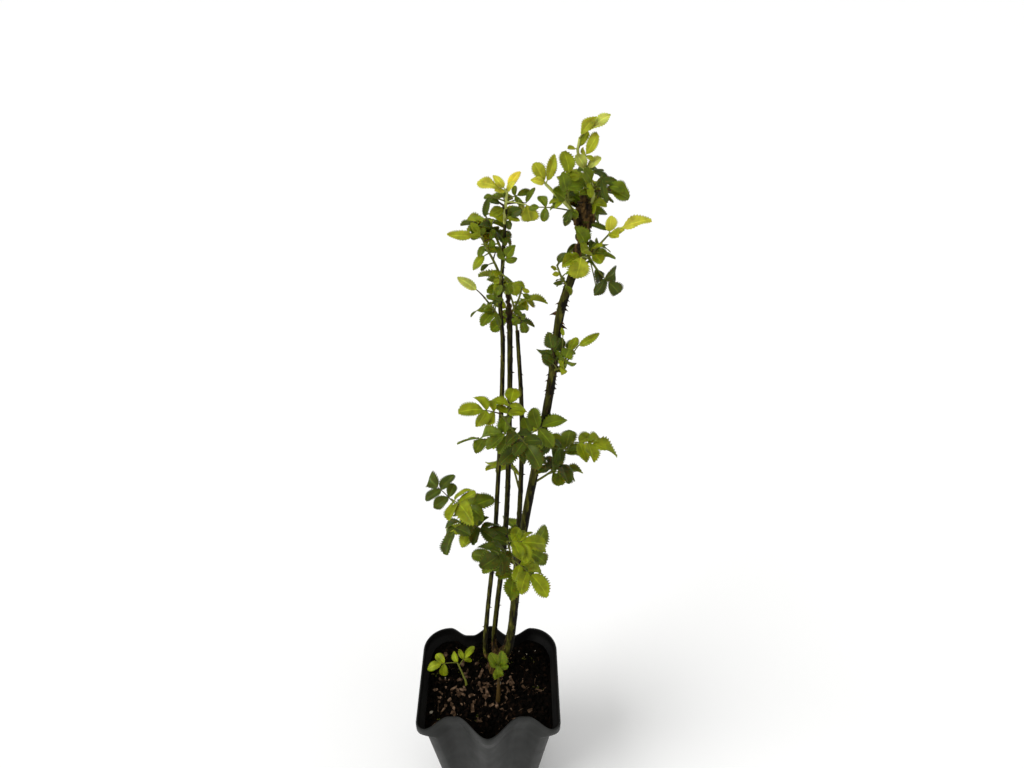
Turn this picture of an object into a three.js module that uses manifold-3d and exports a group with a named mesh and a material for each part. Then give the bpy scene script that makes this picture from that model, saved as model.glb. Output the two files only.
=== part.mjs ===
// A climbing rose in its square nursery pot: pot, compost, root crown, canes and foliage.
// Millimetres, +Z up. The origin is the middle of the pot's flat underside, and the front is toward -Y.
import * as THREE from "three";
import { mergeVertices } from "three/addons/utils/BufferGeometryUtils.js";
import Module from "manifold-3d";

const wasm = await Module();
wasm.setup();

// Driving dimensions of the pot
const potHeight = 150;
const potWall = 1.7;
const potFloor = 2.5;
const lipDrop = 8;
const neckDrop = 19;
const rim = { halfWidth: 67, halfDepth: 60, corner: 9, backCorner: 26, wave: 1 };
const neck = { halfWidth: 60, halfDepth: 57, corner: 12, backCorner: 25, wave: 0.9 };
const base = { halfWidth: 43, halfDepth: 44, corner: 14, backCorner: 18, wave: 0.3 };
const leastCorner = 3;
const frontSteps = 24;
const cornerSteps = 4;

// How far the front and back walls fold in: place across the face at the rim, then depth there
const frontWave = [[0, -2.5], [30, 19.5], [37, 19.5], [59, 7]];
const backWave = [[0, -2.5], [18, 9], [24, 9], [41, 0]];

// Driving dimensions of the plant
const compostDrop = 15;
const compostTop = potHeight - compostDrop;
const clearance = 0.35;
const crownAt = new THREE.Vector3(6, 22, compostTop + clearance);
const crownHeight = 22;
const crownRadii = [9.5, 7.5, 6.4, 7, 5.6];
const forkShare = 0.6;
const collarShare = 1.25;
const limbSides = 7;
const twigSides = 3;
const stemRadiusUsual = 1;
const stemTaper = 0.35;
const stalkRadius = 0.95;
const stalkTip = 0.65;
const leafThickness = 0.7;
const bladeBelow = 0.4;
const bladeCrest = 0.6;
const widestAt = 0.45;
const crestAt = 0.5;
const stalkSteps = 2;
const stalkOverlap = 0.98;
const pairSpread = 1.2;
const firstPairAt = 0.8;
const pairStep = 0.42;
const pairShrink = 0.14;
const leastStalk = 0.15;
const leafDroop = 0.15;
const sunkRoot = 0.15;
const goldenTurn = 137.5;
const turnPlay = 30;
const risePlay = 40;
const reachPlay = 0.4;
const sizePlay = 0.3;
const ruleTilt = 0.5;
const straightFoot = 3;
const stepsPerPoint = 3;
const lastPlace = 0.9999;

const up = new THREE.Vector3(0, 0, 1);
const front = new THREE.Vector3(0, -1, 0);

const potPlastic = new THREE.MeshStandardMaterial({ color: 0x2b2c2a, roughness: 0.55, metalness: 0 });
const compost = new THREE.MeshStandardMaterial({ color: 0x1d1511, roughness: 1, metalness: 0 });
const bark = new THREE.MeshStandardMaterial({ color: 0x2f3b1a, roughness: 0.7, metalness: 0 });
const oldLeaf = new THREE.MeshStandardMaterial({ color: 0x3c5a14, roughness: 0.55, metalness: 0 });
const youngLeaf = new THREE.MeshStandardMaterial({ color: 0x9cab1e, roughness: 0.5, metalness: 0 });

// Numbers from 0 to 1 that come out the same each time
function makeDice(seed) {
  let state = seed * 7919 + 12345;
  return () => {
    state = (state * 1103515245 + 12345) % 2147483648;
    return state / 2147483648;
  };
}

function toSolid(geometry) {
  const bare = geometry.clone();
  bare.deleteAttribute("normal");
  bare.deleteAttribute("uv");
  const merged = mergeVertices(bare, 1e-4);
  return new wasm.Manifold(
    new wasm.Mesh({
      numProp: 3,
      vertProperties: merged.attributes.position.array,
      triVerts: new Uint32Array(merged.index.array),
    }),
  );
}

function toGeometry(solid) {
  const mesh = solid.getMesh();
  const geometry = new THREE.BufferGeometry();
  geometry.setAttribute("position", new THREE.BufferAttribute(mesh.vertProperties, 3));
  geometry.setIndex(new THREE.BufferAttribute(mesh.triVerts, 1));
  geometry.computeVertexNormals();
  return geometry;
}

// A closed skin through rings of equal point counts, with a flat fan over each end
function loftRings(rings) {
  const count = rings[0].length;
  const points = rings.flat();
  const first = points.length;
  const last = first + 1;
  const middle = (ring) =>
    ring.reduce((sum, p) => sum.add(p), new THREE.Vector3()).divideScalar(count);
  points.push(middle(rings[0]), middle(rings[rings.length - 1]));
  const faces = [];
  for (let row = 0; row + 1 < rings.length; row += 1) {
    for (let i = 0; i < count; i += 1) {
      const a = row * count + i;
      const b = row * count + ((i + 1) % count);
      faces.push(a, b, b + count, a, b + count, a + count);
    }
  }
  const top = (rings.length - 1) * count;
  for (let i = 0; i < count; i += 1) {
    const next = (i + 1) % count;
    faces.push(first, next, i);
    faces.push(last, top + i, top + next);
  }
  const geometry = new THREE.BufferGeometry().setFromPoints(points);
  geometry.setIndex(faces);
  return geometry;
}

// A tapering limb along a curve: rings of a given number of sides, carried along without twist
function limbSolid(curve, radiusAt, sides, steps) {
  const rings = [];
  let side = null;
  for (let i = 0; i <= steps; i += 1) {
    const t = i / steps;
    const centre = curve.getPoint(t);
    const along = curve.getTangent(t);
    if (side === null) {
      side = Math.abs(along.z) > 0.9 ? new THREE.Vector3(1, 0, 0) : up.clone();
    }
    side.addScaledVector(along, -side.dot(along)).normalize();
    const across = new THREE.Vector3().crossVectors(along, side);
    const ring = [];
    for (let k = 0; k < sides; k += 1) {
      const angle = (2 * Math.PI * k) / sides;
      const p = centre.clone();
      p.addScaledVector(side, Math.cos(angle) * radiusAt(t));
      p.addScaledVector(across, Math.sin(angle) * radiusAt(t));
      ring.push(p);
    }
    rings.push(ring);
  }
  return toSolid(loftRings(rings));
}

const vector = ([x, y, z]) => new THREE.Vector3(x, y, z);
const throughPoints = (points) => new THREE.CatmullRomCurve3(points.map(vector), false, "centripetal");

// Value at t between a list of evenly spaced ones
function blend(values, t) {
  const place = Math.min(t, lastPlace) * (values.length - 1);
  const index = Math.floor(place);
  return THREE.MathUtils.lerp(values[index], values[index + 1], place - index);
}

// Depth at a place across a face, smooth from row to row and level beyond the last
function easeBetween(rows, place) {
  for (let i = 0; i + 1 < rows.length; i += 1) {
    const [a, low] = rows[i];
    const [b, high] = rows[i + 1];
    if (place < b) {
      return THREE.MathUtils.lerp(low, high, THREE.MathUtils.smoothstep(place, a, b));
    }
  }
  return rows[rows.length - 1][1];
}

// Plan of the pot at one level: straight sides, and a fluted front and back with round corners
function potOutline(shape, inset, z) {
  const { halfWidth, halfDepth } = shape;
  const waveAt = (x, face) => {
    const rows = face < 0 ? frontWave : backWave;
    return shape.wave * easeBetween(rows, (Math.abs(x) * rim.halfWidth) / halfWidth);
  };
  const cornerAt = (side, face) => {
    const radius = face < 0 ? shape.corner : shape.backCorner;
    const x = halfWidth - radius;
    const y = face * (halfDepth - waveAt(x, face) - radius);
    return { radius: Math.max(radius - inset, leastCorner), x: side * x, y };
  };
  const points = [];
  for (const face of [-1, 1]) {
    const straight = Math.abs(cornerAt(1, face).x);
    for (let i = 0; i <= frontSteps; i += 1) {
      const x = face * THREE.MathUtils.lerp(straight, -straight, i / frontSteps);
      points.push(new THREE.Vector3(x, face * (halfDepth - inset - waveAt(x, face)), z));
    }
    const turn = (face * Math.PI) / 2;
    const near = cornerAt(-face, face);
    const far = cornerAt(-face, -face);
    for (let i = 1; i < 2 * cornerSteps + 1; i += 1) {
      const { radius, x, y } = i <= cornerSteps ? near : far;
      const angle = turn + (Math.PI * (i <= cornerSteps ? i : i - 1)) / (2 * cornerSteps);
      points.push(new THREE.Vector3(x + radius * Math.cos(angle), y + radius * Math.sin(angle), z));
    }
  }
  return points;
}

function mixShape(low, high, t) {
  const shape = {};
  for (const key of Object.keys(high)) {
    shape[key] = THREE.MathUtils.lerp(low[key], high[key], t);
  }
  return shape;
}

const neckTop = potHeight - neckDrop;
const lipFoot = potHeight - lipDrop;

// Shape of the pot's wall at a height: it widens up to the neck, then flares out to the lip
function bodyAt(z) {
  if (z < neckTop) {
    return mixShape(base, neck, z / neckTop);
  }
  return mixShape(neck, rim, Math.min((z - neckTop) / (lipFoot - neckTop), 1));
}

function makePot() {
  const flare = [neckTop, compostTop, lipFoot];
  const body = [0, ...flare, potHeight].map((z) => potOutline(bodyAt(z), 0, z));
  const hollow = [potFloor, ...flare, potHeight + 1].map((z) => potOutline(bodyAt(z), potWall, z));
  return toSolid(loftRings(body)).subtract(toSolid(loftRings(hollow)));
}

function makeCompost() {
  const inset = potWall + clearance;
  const levels = [potFloor + clearance, neckTop, compostTop];
  return toSolid(loftRings(levels.map((z) => potOutline(bodyAt(z), inset, z))));
}

// Canes: the points that each one's axis passes, and its radius from foot to end
const canes = {
  cane_right: {
    foot: [11, 19, 158],
    path: [[30, 10, 330], [49, 2, 490], [54.5, -1, 560], [60, 0, 582], [66, 0, 606], [67, 0, 635]],
    radii: [4.2, 3.9, 3.5, 3.1, 2.9, 2.8, 3.4, 4.6],
  },
  cane_left: {
    foot: [1, 19, 157],
    path: [[8, 15, 340], [15.5, 11, 526], [14, 12, 558], [16, 12, 590], [18, 12, 626]],
    radii: [2.6, 2.2, 1.8, 1.5, 1.3, 1],
  },
  cane_short: {
    foot: [5, 28, 157],
    path: [[17, 25, 340], [20.5, 17, 530], [19.5, 16, 563]],
    radii: [2.9, 2.5, 2, 1.9],
  },
  cane_back: {
    foot: [12, 27, 157],
    path: [[27, 37, 300], [30, 44, 430], [26, 46, 516]],
    radii: [3, 2.6, 2, 1.5],
  },
};

// Stubs left where older shoots were cut off the top of the thick cane
const cutStubs = [
  { from: [66.5, 0, 624], to: [58.5, 1, 628], radius: 2.4 },
  { from: [67, 0, 628], to: [65, 4, 640], radius: 2 },
];

function straightLimb(from, to, radius, endRadius) {
  const line = new THREE.LineCurve3(from, to);
  return limbSolid(line, (t) => THREE.MathUtils.lerp(radius, endRadius, t), limbSides, 1);
}

function makeCrown() {
  const foot = crownAt;
  const axis = new THREE.LineCurve3(foot, foot.clone().addScaledVector(up, crownHeight));
  let crown = limbSolid(axis, (t) => blend(crownRadii, t), limbSides, crownRadii.length - 1);
  const fork = foot.clone().addScaledVector(up, crownHeight * forkShare);
  for (const cane of Object.values(canes)) {
    crown = crown.add(straightLimb(fork, vector(cane.foot), cane.radii[0] * collarShare, cane.radii[0]));
  }
  return crown;
}

function caneCurve(cane) {
  const fork = crownAt.clone().addScaledVector(up, crownHeight * forkShare);
  const foot = vector(cane.foot);
  const along = foot.clone().sub(fork).normalize();
  const start = foot.clone().addScaledVector(along, clearance);
  const next = foot.clone().addScaledVector(along, cane.radii[0] * straightFoot);
  return new THREE.CatmullRomCurve3([start, next, ...cane.path.map(vector)], false, "centripetal");
}

function makeCane(name, spare) {
  const cane = canes[name];
  const steps = cane.path.length * stepsPerPoint;
  const radiusAt = (t) => blend(cane.radii, t) + spare;
  let solid = limbSolid(caneCurve(cane), radiusAt, limbSides, steps);
  if (name === "cane_right") {
    for (const stub of cutStubs) {
      const radius = stub.radius + spare;
      solid = solid.add(straightLimb(vector(stub.from), vector(stub.to), radius, radius));
    }
  }
  return solid;
}

// One leaflet: an eight-faced blade with a raised midrib, flat below, its root a short upright edge
function leafletSolid(root, along, face, length, width) {
  const across = new THREE.Vector3().crossVectors(face, along).normalize();
  const normal = new THREE.Vector3().crossVectors(along, across).normalize();
  const at = (ahead, aside, above) => {
    const p = root.clone().addScaledVector(along, ahead * length);
    return p.addScaledVector(across, aside * length).addScaledVector(normal, above * leafThickness);
  };
  const blade = new THREE.BufferGeometry().setFromPoints([
    at(0, 0, bladeBelow),
    at(0, 0, -bladeBelow),
    at(widestAt, width / 2, -bladeBelow),
    at(widestAt, -width / 2, -bladeBelow),
    at(1, 0, -bladeBelow),
    at(crestAt, 0, bladeCrest),
  ]);
  blade.setIndex([0, 5, 2, 0, 3, 5, 2, 5, 4, 5, 3, 4, 1, 2, 3, 2, 4, 3, 0, 2, 1, 0, 1, 3]);
  return toSolid(blade);
}

// The line of a compound leaf's stalk: it leaves its shoot, arches over and ends in the last leaflet
function stalkCurve(foot, reach, arch) {
  const end = foot.clone().add(reach);
  const middle = foot.clone().addScaledVector(reach, 0.5);
  middle.addScaledVector(up, reach.length() * arch);
  return new THREE.QuadraticBezierCurve3(foot, middle, end);
}

// A compound leaf: a thin stalk, leaflets in pairs and one at the end
function compoundLeaf(foot, leaf, toward) {
  const reach = vector(leaf.reach);
  const full = reach.length();
  const size = leaf.size;
  const curve = stalkCurve(foot, reach, leaf.arch);
  const stalkEnd = Math.max(1 - size / full, leastStalk);
  const stalk = new THREE.QuadraticBezierCurve3(
    foot,
    curve.getPoint(stalkEnd / 2).multiplyScalar(2).addScaledVector(foot, -0.5)
      .addScaledVector(curve.getPoint(stalkEnd), -0.5),
    curve.getPoint(stalkEnd),
  );
  const blades = [];
  const faceAt = (along) => {
    const face = up.clone().addScaledVector(toward, leaf.tilt);
    face.addScaledVector(along, -face.dot(along)).normalize();
    return face.applyAxisAngle(along, -leaf.roll);
  };
  const place = (t, spread, length, aside) => {
    const at = curve.getPoint(t);
    const along = curve.getTangent(t);
    const face = faceAt(along);
    const across = new THREE.Vector3().crossVectors(face, along).normalize();
    const out = along.clone().multiplyScalar(Math.cos(spread));
    out.addScaledVector(across, Math.sin(spread)).addScaledVector(face, -leafDroop);
    out.addScaledVector(up, -leaf.hang).normalize();
    const root = at.clone().addScaledVector(across, aside);
    blades.push(leafletSolid(root, out, leaf.hang ? faceAt(out) : face, length, leaf.width));
  };
  place(stalkEnd * stalkOverlap, 0, size, 0);
  for (let pair = 0; pair < leaf.pairs; pair += 1) {
    const t = stalkEnd * (firstPairAt - pairStep * pair);
    const length = size * leaf.pairSize * (1 - pairShrink * pair);
    for (const side of [1, -1]) {
      place(t, side * pairSpread, length, side * sunkRoot);
    }
  }
  const radiusAt = (t) => THREE.MathUtils.lerp(stalkRadius, stalkTip, t);
  return { stalk: limbSolid(stalk, radiusAt, twigSides, stalkSteps), blades };
}

// Each mass: where its stem leaves a limb, the points the stem passes, and its leaves
// A leaf says how far along the stem it stands, how far its tip reaches right, back and up, and its length
// A blade with some hang droops by it from the line of its stalk, and faces outward all the same
const leafHabit = { pairs: 1, pairSize: 0.85, arch: 0.12, tilt: 1, roll: 0, width: 0.62, hang: 0 };
const leaf = (at, reach, size, more = {}) => ({ ...leafHabit, at, reach, size, ...more });

// Leaves set round a stem by rule, for the masses that stand at the back and low on the plant
function leavesByRule({ count, from, turn, reach, lift, size, seed }) {
  const dice = makeDice(seed);
  const leaves = [];
  for (let i = 0; i < count; i += 1) {
    const azimuth = THREE.MathUtils.degToRad(turn + goldenTurn * i + turnPlay * (dice() - 0.5));
    const rise = THREE.MathUtils.degToRad(lift + risePlay * (dice() - 0.5));
    const length = reach * (1 - reachPlay / 2 + reachPlay * dice());
    const spot = from + ((1 - from) * i) / Math.max(count - 1, 1);
    const flat = length * Math.cos(rise);
    const tip = [flat * Math.cos(azimuth), flat * Math.sin(azimuth), length * Math.sin(rise)];
    leaves.push(leaf(spot, tip, size * (1 - sizePlay / 2 + sizePlay * dice()), { tilt: ruleTilt }));
  }
  return leaves;
}

const masses = {
  leaves_top: {
    radius: 1.4,
    path: [[67, 0, 628], [71, 0, 638], [70, 0, 645], [66, 2, 654], [61, 3, 664], [61.5, 3, 673]],
    leaves: [
      leaf(1, [15, -4, 16], 15, { pairs: 0, width: 0.4, arch: 0 }),
      leaf(1, [6, -3, 14], 13.5, { pairs: 0, width: 0.42, arch: 0 }),
      leaf(0.85, [5, -2, 10], 9, { pairs: 0, width: 0.4, arch: 0 }),
      leaf(0.85, [-6, -6, 3], 6, { pairs: 0 }),
      leaf(0.7, [8.5, -6, 15.5], 13.5, { pairSize: 0.45, width: 0.58 }),
      leaf(0.6, [-5, -3, 9], 9.5, { pairs: 0, width: 0.7 }),
      leaf(0.6, [6.5, -4, 8.5], 9.5, { pairs: 0, width: 0.75 }),
      leaf(0.35, [-3, -9, 13], 10, { pairs: 0, width: 0.75 }),
      leaf(0.35, [18.5, -8, 2], 10, { pairs: 0, width: 0.8, arch: 0.25 }),
      leaf(0.3, [20.5, -10, -0.5], 11.5, { pairs: 0, width: 0.8, arch: 0.25 }),
      leaf(0.35, [14, -4, 3], 12, { pairs: 0, width: 0.5, arch: 0.4 }),
      leaf(0.35, [7, -25, 21], 16, { pairs: 0, width: 0.24, hang: 3 }),
      leaf(0.3, [-14, -12, 9], 11, { pairs: 0 }),
      leaf(0.1, [0, -6, 13], 9, { pairs: 0, width: 0.45 }),
      leaf(0.5, [8, 19, 2], 12),
    ],
  },
  leaves_top_left: {
    radius: 1.6,
    path: [[66, -1, 622], [59, -3, 631], [50, -4, 640], [42, -4, 648]],
    leaves: [
      leaf(1, [6, -2, 15], 15, { pairs: 0, width: 0.4, arch: 0 }),
      leaf(1, [-6, 0, 12], 12, { pairs: 0, width: 0.6, arch: 0 }),
      leaf(1, [-7, -4, 3], 8, { pairs: 0, width: 0.6 }),
      leaf(0.45, [-1, -6, 32], 12.5, { pairSize: 0.6, width: 0.68 }),
      leaf(0.3, [-28, -4, 4], 6.5, { pairSize: 1.4, width: 0.6, arch: 0.1 }),
      leaf(0.2, [-10, -15, 12], 11, { pairs: 0, width: 0.45, hang: 3 }),
      leaf(0.4, [-6, -12, 22], 12, { pairSize: 0.7 }),
      leaf(0.3, [-12, -14, 18], 12, { pairs: 0, width: 0.7 }),
      leaf(0.1, [-8, -7, -3], 9, { pairs: 0, width: 0.55, tilt: 0.4 }),
      leaf(0, [13, -9, -1], 10.5, { pairs: 0, width: 0.45, tilt: 0.2 }),
      leaf(0.45, [-4, 18, 8], 12),
    ],
  },
  leaves_middle_right: {
    path: [[65, 0, 593], [71, -4, 602], [77, -5, 610], [82, -6, 617]],
    leaves: [
      leaf(1, [24, -3, 10.5], 19, { pairs: 0, width: 0.38, tilt: 0.5 }),
      leaf(1, [0, -2, 10], 9.5, { pairs: 0, width: 0.75 }),
      leaf(1, [7, -4, 3], 8, { pairs: 0, width: 0.6 }),
      leaf(1, [3, -6, 1], 8, { pairs: 0, width: 0.8 }),
      leaf(0.3, [-7, -12, 20], 13, { pairs: 0, width: 0.74 }),
      leaf(0.25, [-10, -24, 8], 13.5, { pairs: 0, width: 0.95, hang: 3 }),
      leaf(0.3, [-17, -16, 2], 14.5, { pairs: 0, width: 0.5 }),
      leaf(0.3, [-2, -18, 14], 14, { pairs: 0, width: 0.65 }),
      leaf(0.4, [1, -12, 11], 8, { pairs: 0, width: 0.7 }),
      leaf(0.4, [4, -14, 0], 10, { pairs: 0, width: 0.7 }),
      leaf(0.3, [16, -6, 2], 10, { pairs: 0, width: 0.4 }),
      leaf(0.3, [22, -2, -24], 12, { pairSize: 1, arch: -0.2, width: 0.72, tilt: 0.8 }),
      leaf(0.25, [12, 0, -19], 11, { pairs: 0, width: 0.7, hang: 0.5 }),
      leaf(0.3, [8, 2, -32], 9, { pairs: 0, width: 0.35 }),
      leaf(0.5, [6, 18, -4], 12),
    ],
  },
  leaves_middle_left: {
    path: [[60, 0, 576], [54, -2, 585], [51, 1, 592]],
    leaves: [
      leaf(1, [3, -2, 9], 7.5, { pairs: 0, width: 0.7 }),
      leaf(1, [12, 2, 13], 9, { pairs: 0, width: 0.45 }),
      leaf(0.8, [-5, -3, 3], 4.5, { pairs: 0 }),
      leaf(0.6, [-5, -3, 2], 5, { pairs: 0 }),
      leaf(0.5, [4, -8, 8], 5, { pairs: 0 }),
      leaf(0.2, [-8, -4, 2], 6, { pairs: 0, width: 0.45 }),
    ],
  },
  leaves_low_right: {
    path: [[49.5, 1, 510], [56, -5, 518], [62, -8, 528]],
    leaves: [
      leaf(1, [16, -1, 17], 16, { pairs: 0, width: 0.36, arch: 0.4, hang: 0.6 }),
      leaf(0.3, [-7, -10, 31], 12, { pairs: 2, pairSize: 1, width: 0.75, arch: 0.1 }),
      leaf(0.5, [9, -4, 23], 11, { pairs: 0, width: 0.55 }),
      leaf(0.5, [0, -4, 32], 6, { pairs: 0, width: 0.4 }),
      leaf(0.3, [-7, -13, 15], 10, { pairs: 0, width: 0.75 }),
      leaf(0.5, [4, -12, 19], 10.5, { width: 0.8 }),
      leaf(0.7, [6, 16, 10], 11, { pairSize: 0.6 }),
      leaf(0.5, [-8, 9, 24], 10),
    ],
  },
  leaves_left_top: {
    young: true,
    radius: 1.3,
    path: [[17.5, 12, 616], [18, 12, 629], [19, 11, 637]],
    leaves: [
      leaf(1, [-17, -5, 9], 14, { pairs: 0, width: 0.5 }),
      leaf(1, [-8, -2, 10], 9.5, { pairs: 0, width: 0.5 }),
      leaf(1, [6, 1, 13], 12, { pairs: 0, width: 0.48 }),
      leaf(1, [3, -6, 6], 7.5, { pairs: 0, width: 0.6 }),
      leaf(1, [-7, -6, 3], 7.5, { pairs: 0, width: 0.5 }),
      leaf(0.6, [-21, -12, 8], 13, { pairs: 0, width: 0.32, hang: 3 }),
      leaf(0.4, [-9, -4, 7], 7, { pairs: 0, width: 0.8 }),
      leaf(0.4, [-8, -8, -2], 9, { pairs: 0, width: 0.65 }),
      leaf(0.6, [17, 2, 2], 10, { pairSize: 0.7, arch: 0.35, width: 0.5 }),
      leaf(0.6, [24, -7, -4], 11.5, { pairs: 0, width: 0.9, hang: 3 }),
      leaf(0.5, [18, -2, 6], 10, { pairs: 0, width: 0.4, hang: 3 }),
      leaf(0.5, [24, -3, 0], 11, { pairs: 0, width: 0.3, hang: -3 }),
      leaf(0.15, [7, -8, 1], 8.5, { pairs: 0, width: 0.35 }),
      leaf(0.15, [9, -6, 7], 9, { pairs: 0, width: 0.75 }),
      leaf(0.1, [4, -6, -3], 6, { pairs: 0 }),
      leaf(0.5, [-4, 17, 4], 11),
    ],
  },
  leaves_left_side: {
    path: [[15.5, 12, 576], [10, 8, 592], [5, 5, 604], [3, 4, 611]],
    leaves: [
      leaf(1, [-7, -2, 6], 9, { pairs: 0, width: 0.5, arch: 0.3 }),
      leaf(1, [-21, -6, 0], 16, { pairs: 0, width: 0.36, arch: 0.1 }),
      leaf(1, [-5, -6, 3], 8, { pairs: 0, width: 0.5 }),
      leaf(0.7, [-4, -8, -4], 8.5, { pairs: 0 }),
      leaf(0.5, [-11, -9, -6], 11, { pairs: 0, width: 0.5 }),
      leaf(0.3, [-9, -6, -2], 6.5, { pairs: 0, width: 0.45 }),
      leaf(0.1, [8, -8, 23], 11, { pairSize: 0.7 }),
      leaf(0.35, [4, 18, 4], 11),
    ],
  },
  leaves_left_middle: {
    path: [[14, 12, 546], [8, 5, 560], [4, 0, 569]],
    leaves: [
      leaf(1, [-17, -4, 13], 15, { pairs: 0, width: 0.4, arch: 0.3 }),
      leaf(0.3, [-7, -14, -2], 13, { pairSize: 0.85, width: 0.62 }),
      leaf(0.6, [-15, 2, -11], 7, { pairs: 0, width: 0.25 }),
      leaf(0.3, [3, -6, 21], 8, { pairs: 0 }),
      leaf(0.4, [6, 16, 6], 11),
    ],
  },
  leaves_short_cane: {
    path: [[20, 16.5, 545], [26, 19, 556], [29, 21, 566]],
    leaves: [
      leaf(0.9, [5, -2, -1], 5, { pairs: 0 }),
      leaf(0.8, [6, -4, -3], 6, { pairs: 0 }),
      leaf(0.3, [9, -4, -21], 10, { pairSize: 0.6 }),
      leaf(0.3, [-5, -6, 19], 8, { pairs: 0 }),
    ],
  },
  leaves_back_right: {
    rule: true,
    path: [[67, 0, 615], [69, 14, 628], [70, 26, 640]],
    leaves: leavesByRule({ count: 5, from: 0.35, turn: 60, reach: 23, lift: 5, size: 16, seed: 3 }),
  },
  leaves_back_left: {
    rule: true,
    path: [[16.5, 12, 594], [10, 26, 604], [4, 36, 612]],
    leaves: leavesByRule({ count: 5, from: 0.35, turn: 160, reach: 26, lift: 0, size: 16, seed: 5 }),
  },
  leaves_back_top: {
    rule: true,
    path: [[26.3, 46, 508], [24, 51, 530], [18, 56, 552]],
    leaves: leavesByRule({ count: 5, from: 0.3, turn: 90, reach: 28, lift: 5, size: 18, seed: 7 }),
  },
  leaves_back_low: {
    rule: true,
    path: [[28.5, 41, 360], [20, 56, 384], [8, 62, 404]],
    leaves: leavesByRule({ count: 5, from: 0.3, turn: 130, reach: 36, lift: 0, size: 20, seed: 11 }),
  },
  leaves_foot_back: {
    rule: true,
    path: [[21, 33, 240], [30, 46, 262], [36, 52, 290]],
    leaves: leavesByRule({ count: 5, from: 0.35, turn: 70, reach: 34, lift: 5, size: 20, seed: 13 }),
  },
  leaves_low_left: {
    rule: true,
    path: [[8, 15, 330], [-12, 6, 356], [-26, 0, 388]],
    leaves: leavesByRule({ count: 7, from: 0.3, turn: 180, reach: 36, lift: 5, size: 20, seed: 17 }),
  },
  leaves_low_front: {
    rule: true,
    path: [[26, 12, 296], [24, -16, 330], [18, -30, 372]],
    leaves: leavesByRule({ count: 7, from: 0.3, turn: -90, reach: 36, lift: 5, size: 20, seed: 19 }),
  },
  leaves_high_front: {
    rule: true,
    path: [[43, 5, 440], [28, -14, 462], [14, -22, 490]],
    leaves: leavesByRule({ count: 6, from: 0.3, turn: -120, reach: 32, lift: 5, size: 19, seed: 23 }),
  },
  leaves_low_side: {
    rule: true,
    path: [[38, 7, 398], [56, 2, 420], [66, -4, 450]],
    leaves: leavesByRule({ count: 6, from: 0.3, turn: 10, reach: 32, lift: 5, size: 19, seed: 29 }),
  },
  sprouts_left: {
    young: true,
    radius: 1.3,
    path: [[-23, 3, 136], [-23.5, 4.5, 140], [-27, 10, 145], [-32, 17, 152]],
    leaves: [
      leaf(1, [-29, -8, 4], 14, { pairSize: 0.9, width: 0.6, tilt: 0.6 }),
      leaf(0.9, [16, 15, 7], 15, { pairSize: 0.7, width: 0.45, arch: 0.3 }),
      leaf(0.8, [-8, 12, 10], 11, { pairs: 0 }),
    ],
  },
  sprouts_middle: {
    young: true,
    radius: 2.2,
    path: [[8.5, -14, 136.4], [9, -8, 150], [9.5, 0, 164]],
    leaves: [
      leaf(1, [-5, 3, 19], 14, { width: 0.7, pairSize: 0.6 }),
      leaf(1, [5, 3, 19], 14, { width: 0.7, pairSize: 0.6 }),
      leaf(0.7, [0, -5, 18], 13, { pairs: 0, width: 0.7 }),
    ],
  },
};

function makeMass(mass, limbs, neighbours) {
  const curve = throughPoints(mass.path);
  const stemRadius = mass.radius ?? stemRadiusUsual;
  const steps = mass.path.length;
  const middle = curve.getPoint(0.5);
  const outward = new THREE.Vector3(middle.x - crownAt.x, middle.y - crownAt.y, 0).normalize();
  const stem = limbSolid(curve, (t) => stemRadius * (1 - stemTaper * t), twigSides, steps);
  const placed = [stem];
  const clear = (piece) =>
    neighbours.every((other) => piece.minGap(other, clearance) >= clearance);
  for (const entry of mass.leaves) {
    const { stalk, blades } = compoundLeaf(curve.getPoint(entry.at), entry, mass.rule ? outward : front);
    if (!clear(stalk) || stalk.subtract(limbs).decompose().length !== 1) {
      continue;
    }
    const crosses = (blade) => placed.some((other) => !blade.intersect(other).isEmpty());
    blades.forEach((blade, i) => {
      if (clear(blade) && blade.intersect(limbs).isEmpty() && (i === 0 || !crosses(blade))) {
        placed.push(blade);
      }
    });
    placed.push(stalk);
  }
  const bodies = wasm.Manifold.union(placed).subtract(limbs).decompose();
  return bodies.reduce((best, body) => (body.volume() > best.volume() ? body : best));
}

const rose = new THREE.Group();

function addNode(name, solid, material) {
  const mesh = new THREE.Mesh(toGeometry(solid), material);
  mesh.name = name;
  rose.add(mesh);
}

const crown = makeCrown();
addNode("pot", makePot(), potPlastic);
addNode("compost", makeCompost(), compost);
addNode("root_crown", crown, bark);
let limbs = crown;
for (const name of Object.keys(canes)) {
  addNode(name, makeCane(name, 0), bark);
  limbs = limbs.add(makeCane(name, clearance));
}

const built = [];
for (const [name, mass] of Object.entries(masses)) {
  const solid = makeMass(mass, limbs, built);
  built.push(solid);
  addNode(name, solid, mass.young ? youngLeaf : oldLeaf);
}

export default rose;
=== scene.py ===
import random
from itertools import combinations
from math import cos, dist, exp, pi, radians, sin

import bmesh
import bpy
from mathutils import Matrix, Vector, kdtree, noise


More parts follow.
